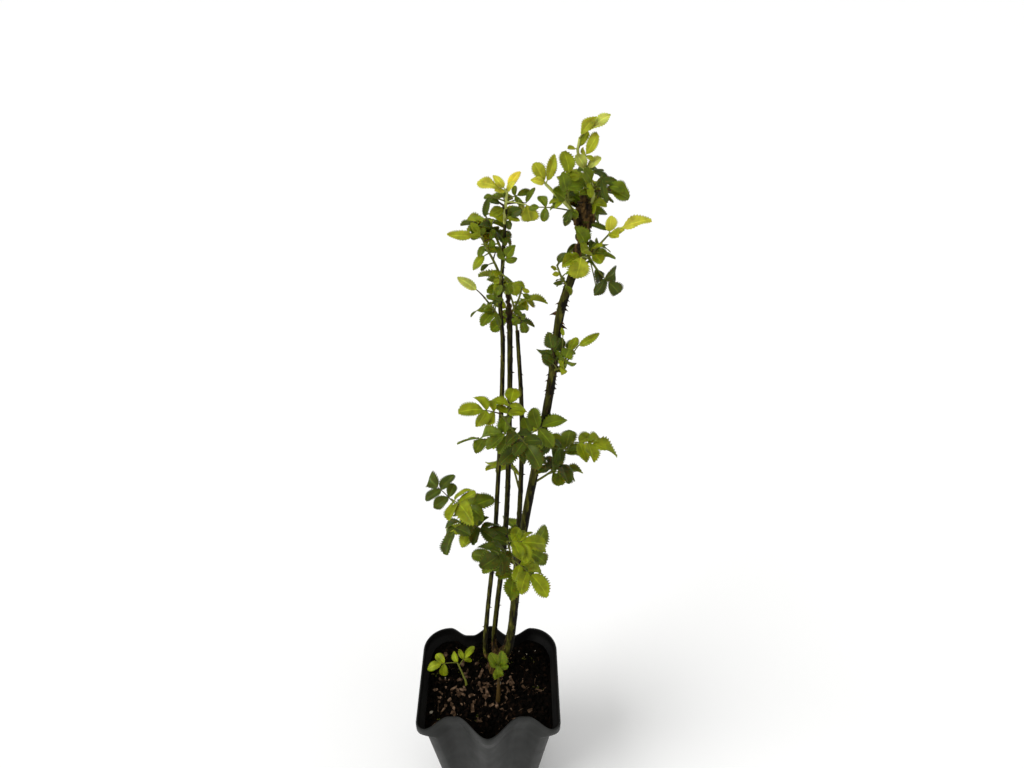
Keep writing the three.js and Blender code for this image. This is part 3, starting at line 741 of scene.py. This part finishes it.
def addKnobs(bag, cane):
    # the swollen, scarred wood round the cane's top, where the shoots come from
    dice = random.Random(wood["seed"])
    rows, sides = 10, 16
    for x, y, z, size in cane.get("knobs", []):
        centre = Vector((x, y, z))
        limbMarks.append((centre, size))
        start = len(bag["points"])
        shift = Vector((dice.uniform(0, 50), 0, 0))
        for i in range(rows + 1):
            broad, high = sin(pi * i / rows), cos(pi * i / rows)
            for k in range(sides):
                turn = 2 * pi * k / sides
                out = Vector((broad * cos(turn), broad * sin(turn), high))
                rough = 1 + 0.5 * noise.noise(out * 1.8 + shift) + 0.3 * noise.noise(out * 4.5 + shift)
                bag["points"].append(centre + out * (size * rough))
        for i in range(rows):
            addBand(bag, start + i * sides, sides, oldWood)


def addStubs(bag, cane):
    steps, sides, swell = 8, 16, wood["stubSwell"]
    for a, b, radius in cane.get("stubs", []):
        taper = [radius * (1 + swell - swell * k / steps) for k in range(steps + 1)]
        line = straightLine(Vector(a), Vector(b), steps)
        sweep(bag, line, taper, sides, oldWood, woodRelief(knobbly=0), cutWood)


def paintCane(bag, cane, frames):
    # old bark at the foot and on the knobbly top, and painted shade on the right side between them: darker
    # wood where the faces look away from the key light
    sides = wood["sides"]
    for i, (centre, along, side, across) in enumerate(frames[:-1]):
        isOld = not cane["foot"][2] + wood["oldFoot"] <= centre.z <= cane["knobbly"]
        for k in range(sides):
            face = i * sides + k
            out = turned(side, across, 2 * pi * (k + 0.5) / sides)
            patch = noise.noise(centre * 0.2 + Vector((k * 0.3, 0, 0)))
            wander = wood["paintedShadeWander"] * noise.noise(centre * 0.1 + Vector((k * 0.2, 4, 0)))
            if isOld and patch > wood["oldPatches"]:
                bag["slots"][face] = oldWood
            # painted shade: faces that look right, away from the sun, get the darker wood
            elif not isOld and out.x > wood["paintedShadeFrom"] + wander:
                bag["slots"][face] = paintedShadeWood


def makeCane(name, cane):
    dice = random.Random(wood["seed"] + sum(map(ord, name)))
    points = canePoints(cane)
    radii = [blendList(cane["radii"], share) for share in shares(len(points) - 1)]
    limbMarks.extend(zip(points, radii))
    scars = []
    z = cane["foot"][2] + wood["firstScar"]
    while z < cane["path"][-1][2] - wood["lastScar"]:
        scars.append((z, dice.uniform(0, 2 * pi)))
        z += wood["scarGap"] * dice.uniform(0.7, 1.3)
    bag = newBag()
    relief = woodRelief(cane["knobbly"], scars)
    frames = sweep(bag, points, radii, wood["sides"], greenWood, relief, oldWood)
    paintCane(bag, cane, frames)
    addPrickles(bag, cane, frames, radii, dice)
    addKnobs(bag, cane)
    addStubs(bag, cane)
    makePiece(cane["piece"], bag, barkMaterials, [name])


def makeCrown():
    def relief(p, angle):
        lump = noise.noise(p * 0.16 + Vector((5, 2, 8)))
        grain = noise.noise(Vector((p.x * 0.8, p.y * 0.8, p.z * 0.2)))
        return 1 + 0.2 * lump + 0.07 * grain

    bag = newBag()
    steps, sides = 26, 30
    foot = wood["crownAt"] - up * wood["crownSink"]
    height = wood["crownHeight"] + wood["crownSink"]
    line = [foot + up * (height * i / steps) for i in range(steps + 1)]
    radii = [blendList(wood["crownRadii"], share) for share in shares(steps)]
    sweep(bag, line, radii, sides, oldWood, relief)
    steps = 10
    for cane in canes.values():
        collar, foot = cane["radii"][0] * wood["collarShare"], cane["radii"][0] * wood["armShare"]
        arm = straightLine(forkPoint(), Vector(cane["foot"]), steps)
        radii = [mix(collar, foot, share) for share in shares(steps)]
        sweep(bag, arm, radii, wood["sides"], oldWood, woodRelief())
    makePiece("rootCrown", bag, barkMaterials, ["root_crown"])


makeCrown()
for caneName, cane in canes.items():
    makeCane(caneName, cane)
print("canes made")


# foliage: stems off the canes, compound leaves on the stems, toothed leaflets on the leaves

# ranges are dealt out leaflet by leaflet; swell and close shape a blade from pointed to blunt
leaflet = {
    "rows": 22, "columns": (-1, -0.72, -0.38, -0.06, 0.06, 0.38, 0.72, 1), "thick": 0.2,
    "swell": (0.55, 0.85), "close": (0.85, 0.42), "bluntPlay": (-0.25, 0.3),
    "tooth": 0.2, "notch": 0.1, "hook": 0.03, "lean": 0.1, "fold": (0.1, 0.65), "crown": (0, 0.08),
    "curl": (0.02, 0.35), "pucker": 0.018, "wave": 0.09, "bend": 0.18, "twist": 0.7, "roll": 0.4,
}
# what a leaf has unless its own line says otherwise
leafHabit = {"pairs": 1, "pairSize": 0.85, "arch": 0.12, "tilt": 1, "roll": 0, "hang": 0, "blunt": 0.2}
leafRule = {
    "pairSpread": 1.2, "firstPairAt": 0.8, "pairStep": 0.42, "pairShrink": 0.14, "spreadPlay": 0.25,
    "leastStalk": 0.15, "droop": 0.15, "goldenTurn": 137.5, "stalk": 0.55, "stalkTip": 0.34,
    "stalkFoot": 1.5, "bladeFoot": 0.98, "turnPlay": 30, "risePlay": 40,
    # how far off the wood a blade keeps, and where along it and across it that is tried
    "limbClearance": 0.4, "triedAlong": (0.3, 0.5, 0.7, 0.95), "triedAside": 0.35,
}
stem = {"radius": 1, "taper": 0.45, "sproutSink": 3}
# the small leaves that crowd round the foot of each shoot
extra = {
    "turn": (-40, 40), "rise": (-25, 60), "reach": (8, 15), "size": (6.5, 9.5), "sizeShare": 0.8,
    "width": (0.5, 0.75), "tilt": (0, 1.2), "roll": (-0.8, 0.8), "from": 0.05, "to": 0.5,
}


def addLeaflet(bag, root, along, face, length, spec, dice):
    across = face.cross(along).normalized()
    normal = along.cross(across).normalized()
    fold, crown = dice.uniform(*leaflet["fold"]), dice.uniform(*leaflet["crown"])
    curl, twist = dice.uniform(*leaflet["curl"]), leaflet["twist"] * dice.uniform(-1, 1)
    wave, phase = leaflet["wave"] * dice.random(), dice.uniform(0, 6)
    bend = leaflet["bend"] * dice.uniform(-1, 1)
    rows, columns = leaflet["rows"], leaflet["columns"]
    blunt = min(max(spec["blunt"] + dice.uniform(*leaflet["bluntPlay"]), 0), 1)
    swell, close = mix(*leaflet["swell"], blunt), mix(*leaflet["close"], blunt)
    widest = swell / (swell + close)
    wide = 0.5 * spec["width"] * length / (widest ** swell * (1 - widest) ** close)
    start = len(bag["points"])
    count = len(columns)

    def place(t, s, row, below):
        half = wide * t ** swell * (1 - t) ** close
        ahead = t + leaflet["lean"] * abs(s) * sin(pi * t)
        if abs(s) == 1 and 0 < row < rows:
            half *= 1 + (leaflet["tooth"] if row % 2 else -leaflet["notch"])
            ahead += leaflet["hook"] if row % 2 else 0
        ripple = leaflet["pucker"] * length * (1 if row % 2 else -1) * sin(pi * abs(s))
        rise = (fold * abs(s) + twist * s * t) * half + crown * length * 4 * ahead * (1 - ahead) + ripple
        rise += wave * length * sin(7 * ahead + phase + s) * s * s - curl * length * ahead * ahead
        aside = s * half + bend * length * ahead * ahead
        return root + along * (ahead * length) + across * aside + normal * (rise - below)

    for below in (0, leaflet["thick"]):
        bag["points"].append(place(0, 0, 0, below))
        for row in range(1, rows):
            for s in columns:
                bag["points"].append(place(row / rows, s, row, below))
        bag["points"].append(place(1, 0, rows, below))
    layer = 2 + (rows - 1) * count
    rib, under = leafSlot(spec["tone"], "Rib"), leafSlot(spec["tone"], "Under")
    for first, blade in ((start, leafSlot(spec["tone"], "Top")), (start + layer, under)):
        for c in range(count - 1):
            slot = rib if c == count // 2 - 1 else blade
            a = first + 1 + c
            addFace(bag, (first, a, a + 1), slot)
            for row in range(rows - 2):
                addFace(bag, (a, a + count, a + count + 1, a + 1), slot)
                a += count
            addFace(bag, (a, first + layer - 1, a + 1), slot)
    for c in (0, count - 1):
        line = [start] + [start + 1 + row * count + c for row in range(rows - 1)] + [start + layer - 1]
        for a, b in zip(line, line[1:]):
            addFace(bag, (a, b, b + layer, a + layer), under)


limbTree = kdtree.KDTree(len(limbMarks))
for index, (centre, radius) in enumerate(limbMarks):
    limbTree.insert(centre, index)
limbTree.balance()


def meetsLimb(point):
    centre, index, distance = limbTree.find(point)
    return distance < limbMarks[index][1] + leafRule["limbClearance"]


def addCompoundLeaf(leaves, shoots, foot, spec, toward, dice):
    # a thin arching stalk, leaflets in pairs along it and one at its end
    reach, size = spec["reach"], spec["size"]
    full = reach.length
    middle = foot + reach * 0.5 + up * (full * spec["arch"])
    end = foot + reach
    stalkEnd = max(1 - size / full, leafRule["leastStalk"])
    steps, sides = 9, 7
    stalk = [bowPoint(foot, middle, end, stalkEnd * k / steps) for k in range(steps + 1)]
    thick = [mix(leafRule["stalk"], leafRule["stalkTip"], share) for share in shares(steps)]
    thick[0] *= leafRule["stalkFoot"]
    isYoung = spec["tone"] in ("young", "fresh")
    shootSlot = youngShoot if isYoung else dice.choice((greenShoot, greenShoot, redShoot))
    sweep(shoots, stalk, thick, sides, shootSlot)

    def faceAlong(way):
        face = up + toward * spec["tilt"]
        return (face - way * face.dot(way)).normalized()

    def addBlade(t, spread, length):
        at = bowPoint(foot, middle, end, t)
        along = bowAlong(foot, middle, end, t)
        face = faceAlong(along)
        roll = spec["roll"] + leaflet["roll"] * dice.uniform(-1, 1)
        across = face.cross(along).normalized()
        face = turned(face, across, roll)
        across = face.cross(along).normalized()
        out = turned(along, across, spread) - face * leafRule["droop"] - up * spec["hang"]
        out.normalize()
        if spec["hang"]:
            face = faceAlong(out)  # a drooping blade faces outward all the same
        aside = face.cross(out).normalized() * (leafRule["triedAside"] * spec["width"])
        tried = [out * ahead + aside * part for ahead in leafRule["triedAlong"] for part in (-1, 0, 1)]
        if not any(meetsLimb(at + place * length) for place in tried):
            addLeaflet(leaves, at, out, face, length, spec, dice)

    addBlade(stalkEnd * leafRule["bladeFoot"], 0, size)
    for pair in range(spec["pairs"]):
        t = stalkEnd * (leafRule["firstPairAt"] - leafRule["pairStep"] * pair)
        length = size * spec["pairSize"] * (1 - leafRule["pairShrink"] * pair)
        for side in (1, -1):
            spread = side * (leafRule["pairSpread"] + leafRule["spreadPlay"] * dice.uniform(-1, 1))
            addBlade(t, spread, length * dice.uniform(0.85, 1.05))


def leaf(at, reach, size, tone, width=0.62, **more):
    # at is its place along the shoot
    own = {"at": at, "reach": Vector(reach), "size": size, "tone": tone, "width": width}
    return {**leafHabit, **own, **more}


def blade(*own, **more):
    return leaf(*own, pairs=0, **more)


def reachOut(turn, rise, length):
    flat = length * cos(rise)
    return flat * cos(turn), flat * sin(turn), length * sin(rise)


def sourceDice(seed):
    # the same numbers as in the part's source, worked out in doubles
    state = [seed * 7919.0 + 12345.0]

    def roll():
        state[0] = (state[0] * 1103515245.0 + 12345.0) % 2147483648.0
        return state[0] / 2147483648.0

    return roll


def leavesByRule(count, start, turn, reach, lift, size, seed):
    roll = sourceDice(seed)
    tones = random.Random(seed)
    made = []
    for i in range(count):
        azimuth = radians(turn + leafRule["goldenTurn"] * i + leafRule["turnPlay"] * (roll() - 0.5))
        rise = radians(lift + leafRule["risePlay"] * (roll() - 0.5))
        tip = reachOut(azimuth, rise, reach * (0.8 + 0.4 * roll()))
        at = start + (1 - start) * i / max(count - 1, 1)
        tone = "bright" if i == count - 1 else tones.choice(("middle", "middle", "dark", "bright"))
        made.append(leaf(at, tip, size * (0.85 + 0.3 * roll()), tone, tilt=0.5, pairs=2))
    return made


# a group of masses makes one piece of leaves and one of shoots; these are laid out leaf by leaf
masses = {}
masses["leaves_top"] = {
    "extra": 2, "extraTo": 0.4, "shoot": youngShoot, "group": "Right", "radius": 1.4,
    "path": [(67, 0, 628), (71, 0, 638), (70, 0, 645), (66, 2, 654), (61, 3, 664), (61.5, 3, 673)],
    "leaves": [
        blade(1, (15, -4, 16), 15, "lime", 0.4, arch=0),
        blade(1, (6, -3, 14), 13.5, "fresh", 0.42, arch=0),
        blade(0.85, (5, -2, 10), 9, "bright", 0.4, arch=0),
        blade(0.85, (-6, -6, 3), 6, "fresh"),
        leaf(0.7, (8.5, -6, 15.5), 13.5, "fresh", 0.58, pairSize=0.45, blunt=1),
        blade(0.6, (-5, -3, 9), 9.5, "lime", 0.7, blunt=0.6),
        blade(0.6, (6.5, -4, 8.5), 9.5, "lime", 0.75, blunt=0.6),
        blade(0.35, (-3, -9, 13), 10, "middle", 0.75),
        blade(0.35, (18.5, -8, 2), 10, "middle", 0.8, arch=0.25, blunt=0.6),
        blade(0.3, (20.5, -10, -0.5), 11.5, "middle", 0.8, arch=0.25, blunt=0.6),
        blade(0.35, (14, -4, 3), 12, "dark", 0.5, arch=0.4),
        blade(0.35, (7, -25, 21), 16, "dark", 0.24, hang=3),
        blade(0.3, (-14, -12, 9), 11, "middle"),
        blade(0.1, (0, -6, 13), 9, "bright", 0.45),
        leaf(0.5, (8, 19, 2), 12, "dark"),
    ],
}
masses["leaves_top_left"] = {
    "extra": 3, "extraTo": 0.5, "shoot": youngShoot, "group": "Right", "radius": 1.6,
    "path": [(66, -1, 622), (59, -3, 631), (50, -4, 640), (42, -4, 648)],
    "leaves": [
        blade(1, (6, -2, 15), 15, "fresh", 0.4, arch=0),
        blade(1, (-6, 0, 12), 12, "fresh", 0.6, arch=0),
        blade(1, (-7, -4, 3), 8, "young", 0.6),
        leaf(0.45, (-1, -6, 32), 12.5, "bright", 0.68, pairSize=0.6),
        leaf(0.3, (-28, -4, 4), 6.5, "middle", 0.6, pairSize=1.4, arch=0.1),
        blade(0.2, (-10, -15, 12), 11, "dark", 0.45, hang=3),
        leaf(0.4, (-6, -12, 22), 12, "middle", pairSize=0.7),
        blade(0.3, (-12, -14, 18), 12, "middle", 0.7),
        blade(0.1, (-8, -7, -3), 9, "dark", 0.55, tilt=0.4),
        blade(0, (13, -9, -1), 10.5, "dark", 0.45, tilt=0.2),
        leaf(0.45, (-4, 18, 8), 12, "dark"),
    ],
}
masses["leaves_middle_right"] = {
    "extra": 7, "extraTo": 0.4, "group": "Right",
    "path": [(65, 0, 593), (71, -4, 602), (77, -5, 610), (82, -6, 617)],
    "leaves": [
        blade(1, (24, -3, 10.5), 19, "young", 0.38, tilt=0.5),
        blade(1, (0, -2, 10), 9.5, "young", 0.75),
        blade(1, (7, -4, 3), 8, "young", 0.6),
        blade(1, (3, -6, 1), 8, "fresh", 0.8),
        blade(0.3, (-7, -12, 20), 13, "middle", 0.74),
        blade(0.25, (-10, -24, 8), 13.5, "fresh", 0.95, hang=3),
        blade(0.3, (-17, -16, 2), 14.5, "bright", 0.5),
        blade(0.3, (-2, -18, 14), 14, "bright", 0.65),
        blade(0.4, (1, -12, 11), 8, "bright", 0.7),
        blade(0.4, (4, -14, 0), 10, "bright", 0.7),
        blade(0.3, (16, -6, 2), 10, "middle", 0.4),
        leaf(0.3, (22, -2, -24), 12, "dark", 0.72, pairSize=1, arch=-0.2, tilt=0.8),
        blade(0.25, (12, 0, -19), 11, "dark", 0.7, hang=0.5),
        blade(0.3, (8, 2, -32), 9, "dark", 0.35),
        leaf(0.5, (6, 18, -4), 12, "middle"),
    ],
}
masses["leaves_middle_left"] = {
    "extra": 3, "group": "Right",
    "path": [(60, 0, 576), (54, -2, 585), (51, 1, 592)],
    "leaves": [
        blade(1, (3, -2, 9), 7.5, "dark", 0.7),
        blade(1, (12, 2, 13), 9, "dark", 0.45),
        blade(0.8, (-5, -3, 3), 4.5, "fresh"),
        blade(0.6, (-5, -3, 2), 5, "fresh"),
        blade(0.5, (4, -8, 8), 5, "middle"),
        blade(0.2, (-8, -4, 2), 6, "dark", 0.45),
    ],
}
masses["leaves_low_right"] = {
    "extra": 5, "group": "Right",
    "path": [(49.5, 1, 510), (56, -5, 518), (62, -8, 528)],
    "leaves": [
        blade(1, (16, -1, 17), 16, "bright", 0.36, arch=0.4, hang=0.6),
        leaf(0.3, (-7, -10, 31), 12, "dark", 0.75, pairs=2, pairSize=1, arch=0.1),
        blade(0.5, (9, -4, 23), 11, "bright", 0.55),
        blade(0.5, (0, -4, 32), 6, "bright", 0.4),
        blade(0.3, (-7, -13, 15), 10, "dark", 0.75),
        leaf(0.5, (4, -12, 19), 10.5, "middle", 0.8),
        leaf(0.7, (6, 16, 10), 11, "middle", pairSize=0.6),
        leaf(0.5, (-8, 9, 24), 10, "dark"),
    ],
}
masses["leaves_left_top"] = {
    "extra": 5, "shoot": youngShoot, "group": "Left", "radius": 1.3,
    "path": [(17.5, 12, 616), (18, 12, 629), (19, 11, 637)],
    "leaves": [
        blade(1, (-17, -5, 9), 14, "young", 0.5),
        blade(1, (-8, -2, 10), 9.5, "young", 0.5),
        blade(1, (6, 1, 13), 12, "golden", 0.48),
        blade(1, (3, -6, 6), 7.5, "young", 0.6),
        blade(1, (-7, -6, 3), 7.5, "young", 0.5),
        blade(0.6, (-21, -12, 8), 13, "dark", 0.32, hang=3),
        blade(0.4, (-9, -4, 7), 7, "dark", 0.8),
        blade(0.4, (-8, -8, -2), 9, "bright", 0.65),
        leaf(0.6, (17, 2, 2), 10, "middle", 0.5, pairSize=0.7, arch=0.35),
        blade(0.6, (24, -7, -4), 11.5, "fresh", 0.9, hang=3, blunt=0.6),
        blade(0.5, (18, -2, 6), 10, "lime", 0.4, hang=3),
        blade(0.5, (24, -3, 0), 11, "middle", 0.3, hang=-3),
        blade(0.15, (7, -8, 1), 8.5, "bright", 0.35),
        blade(0.15, (9, -6, 7), 9, "dark", 0.75),
        blade(0.1, (4, -6, -3), 6, "dark"),
        leaf(0.5, (-4, 17, 4), 11, "middle"),
    ],
}
masses["leaves_left_side"] = {
    "extra": 4, "extraTo": 0.9, "group": "Left",
    "path": [(15.5, 12, 576), (10, 8, 592), (5, 5, 604), (3, 4, 611)],
    "leaves": [
        blade(1, (-7, -2, 6), 9, "bright", 0.5, arch=0.3),
        blade(1, (-21, -6, 0), 16, "fresh", 0.36, arch=0.1, blunt=-0.2),
        blade(1, (-5, -6, 3), 8, "bright", 0.5),
        blade(0.7, (-4, -8, -4), 8.5, "middle"),
        blade(0.5, (-11, -9, -6), 11, "bright", 0.5),
        blade(0.3, (-9, -6, -2), 6.5, "dark", 0.45),
        leaf(0.1, (8, -8, 23), 11, "middle", pairSize=0.7),
        leaf(0.35, (4, 18, 4), 11, "middle"),
    ],
}
masses["leaves_left_middle"] = {
    "extra": 4, "extraTo": 0.8, "group": "Left",
    "path": [(14, 12, 546), (8, 5, 560), (4, 0, 569)],
    "leaves": [
        blade(1, (-17, -4, 13), 15, "lime", 0.4, arch=0.3, blunt=-0.2),
        leaf(0.3, (-7, -14, -2), 13, "middle", 0.62, pairSize=0.85),
        blade(0.6, (-15, 2, -11), 7, "dark", 0.25),
        blade(0.3, (3, -6, 21), 8, "middle"),
        leaf(0.4, (6, 16, 6), 11, "middle"),
    ],
}
masses["leaves_short_cane"] = {
    "extra": 2, "group": "Left",
    "path": [(20, 16.5, 545), (26, 19, 556), (29, 21, 566)],
    "leaves": [
        blade(0.9, (5, -2, -1), 5, "fresh"),
        blade(0.8, (6, -4, -3), 6, "middle"),
        leaf(0.3, (9, -4, -21), 10, "middle", pairSize=0.6),
        blade(0.3, (-5, -6, 19), 8, "middle"),
    ],
}
# these are grown by rule: a path, then the numbers that leavesByRule takes
byRule = {
    "Back": {
        "leaves_back_right": ([(67, 0, 615), (69, 14, 628), (70, 26, 640)], (5, 0.35, 60, 23, 5, 16, 3)),
        "leaves_back_left": ([(16.5, 12, 594), (10, 26, 604), (4, 36, 612)], (5, 0.35, 160, 26, 0, 16, 5)),
        "leaves_back_top": ([(26.3, 46, 508), (24, 51, 530), (18, 56, 552)], (5, 0.3, 90, 28, 5, 18, 7)),
        "leaves_back_low": ([(28.5, 41, 360), (20, 56, 384), (8, 62, 404)], (5, 0.3, 130, 36, 0, 20, 11)),
        "leaves_foot_back": ([(21, 33, 240), (30, 46, 262), (36, 52, 290)], (5, 0.35, 70, 34, 5, 20, 13)),
    },
    "Low": {
        "leaves_low_left": ([(8, 15, 330), (-12, 6, 356), (-26, 0, 388)], (7, 0.3, 180, 36, 5, 20, 17)),
        "leaves_low_front": ([(26, 12, 296), (24, -16, 330), (18, -30, 372)], (7, 0.3, -90, 36, 5, 20, 19)),
        "leaves_high_front": ([(43, 5, 440), (28, -14, 462), (14, -22, 490)], (6, 0.3, -120, 32, 5, 19, 23)),
        "leaves_low_side": ([(38, 7, 398), (56, 2, 420), (66, -4, 450)], (6, 0.3, 10, 32, 5, 19, 29)),
    },
}
for group, groupMasses in byRule.items():
    for name, (path, rule) in groupMasses.items():
        masses[name] = {"group": group, "path": path, "rule": rule}
masses["sprouts_left"] = {
    "group": "Sprouts", "radius": 1.3,
    "path": [(-23, 3, 136), (-23.5, 4.5, 140), (-27, 10, 145), (-32, 17, 152)],
    "leaves": [
        leaf(1, (-29, -8, 4), 14, "bright", 0.6, pairSize=0.9, tilt=0.6),
        leaf(0.9, (16, 15, 7), 15, "bright", 0.45, pairSize=0.7, arch=0.3),
        blade(0.8, (-8, 12, 10), 11, "bright"),
    ],
}
masses["sprouts_middle"] = {
    "group": "Sprouts", "radius": 2.2, "shoot": redShoot,
    "path": [(8.5, -14, 136.4), (9, -8, 150), (9.5, 0, 164)],
    "leaves": [
        leaf(1, (-5, 3, 19), 14, "middle", 0.7, pairSize=0.6),
        leaf(1, (5, 3, 19), 14, "middle", 0.7, pairSize=0.6),
        blade(0.7, (0, -5, 18), 13, "middle", 0.7),
    ],
}


def addExtraLeaves(name, mass, path, toward, leaves, shoots):
    dice = random.Random("extra " + name)
    for i in range(mass.get("extra", 0)):
        turn = radians(leafRule["goldenTurn"] * i + dice.uniform(*extra["turn"]))
        rise = radians(dice.uniform(*extra["rise"]))
        length = dice.uniform(*extra["reach"])
        tone = dice.choice(("dark", "middle", "middle", "middle", "bright"))
        size = min(dice.uniform(*extra["size"]), length * extra["sizeShare"])
        spec = leaf(0, reachOut(turn, rise, length), size, tone, pairs=dice.choice((0, 1, 1)))
        for key in ("width", "tilt", "roll"):
            spec[key] = dice.uniform(*extra[key])
        foot = curvePoint(path, dice.uniform(extra["from"], mass.get("extraTo", extra["to"])))
        addCompoundLeaf(leaves, shoots, foot, spec, toward, dice)


def growMass(name, mass, leaves, shoots):
    dice = random.Random(name)
    path = [Vector(p) for p in mass["path"]]
    middle = curvePoint(path, 0.5)
    outward = Vector((middle.x - wood["crownAt"].x, middle.y - wood["crownAt"].y, 0)).normalized()
    toward = outward if "rule" in mass else front
    specs = leavesByRule(*mass["rule"]) if "rule" in mass else mass["leaves"]
    radius = mass.get("radius", stem["radius"])
    steps, sides = 24, 10
    points = [curvePoint(path, share) for share in shares(steps)]
    radii = [radius * (1 - stem["taper"] * i / steps) for i in range(steps + 1)]
    if mass["group"] == "Sprouts":
        points[0] = points[0] - up * stem["sproutSink"]  # into the loose compost
    sweep(shoots, points, radii, sides, mass.get("shoot", greenShoot))
    for spec in specs:
        addCompoundLeaf(leaves, shoots, curvePoint(path, spec["at"]), spec, toward, dice)
    addExtraLeaves(name, mass, path, toward, leaves, shoots)


def makeFoliage():
    for group in ("Right", "Left", "Back", "Low", "Sprouts"):
        leaves, shoots = newBag(), newBag()
        nodes = [name for name, mass in masses.items() if mass["group"] == group]
        for name in nodes:
            growMass(name, masses[name], leaves, shoots)
        makePiece("leaves" + group, leaves, leafMaterials, nodes)
        makePiece("shoots" + group, shoots, shootMaterials, nodes)
        print("foliage", group, len(leaves["faces"]), "faces")


makeFoliage()


# floor, light and camera: lengths in metres here

studio = {
    "floorSize": 400, "floorColour": (250, 250, 249), "skyStrength": 0.67, "aim": Vector((0.02, 0, 0.4)),
    "sunFrom": Vector((-0.85, -0.35, 0.85)), "sunWidth": 0.7, "sunStrength": 1.9,
    "fillPlace": (1.6, -1.2, 1.5), "fillSize": 1.6, "fillPower": 4,
    "cameraPlace": (0.022, -0.4473, 0.813), "cameraPitch": 35,
    "lens": 27.03, "sensor": 36, "clip": (0.02, 1000),
}


def addLight(name, lamp, place):
    light = addObject(name, lamp)
    light.location = place
    light.rotation_euler = (studio["aim"] - light.location).to_track_quat("-Z", "Y").to_euler()


def makeStudio():
    mesh = bpy.data.meshes.new("floor")
    half = studio["floorSize"] / 2
    corners = [(-half, -half, 0), (half, -half, 0), (half, half, 0), (-half, half, 0)]
    mesh.from_pydata(corners, [], [(0, 1, 2, 3)])
    material, inputs = newMaterial("paleFloor", 0.7, 0.2)
    inputs["Base Color"].default_value = toLinear(studio["floorColour"])
    mesh.materials.append(material)
    floor = addObject("floor", mesh)
    sun = bpy.data.lights.new("key", "SUN")
    sun.angle = studio["sunWidth"]
    sun.energy = studio["sunStrength"]
    addLight("key", sun, studio["aim"] + studio["sunFrom"])
    fill = bpy.data.lights.new("fill", "AREA")
    fill.size = studio["fillSize"]
    fill.energy = studio["fillPower"]
    addLight("fill", fill, studio["fillPlace"])
    world = bpy.data.worlds.new("studioSky")
    world.use_nodes = True
    sky = world.node_tree.nodes["Background"].inputs
    sky["Color"].default_value = (1, 1, 1, 1)
    sky["Strength"].default_value = studio["skyStrength"]
    bpy.context.scene.world = world
    bpy.context.scene.view_settings.view_transform = "Standard"


def makeCamera():
    lens = bpy.data.cameras.new("camera")
    lens.lens = studio["lens"]
    lens.sensor_width = studio["sensor"]
    lens.clip_start, lens.clip_end = studio["clip"]
    camera = addObject("camera", lens)
    camera.location = studio["cameraPlace"]
    camera.rotation_euler = (radians(90 - studio["cameraPitch"]), 0, 0)
    bpy.context.scene.camera = camera


makeStudio()
makeCamera()
print("studio made")
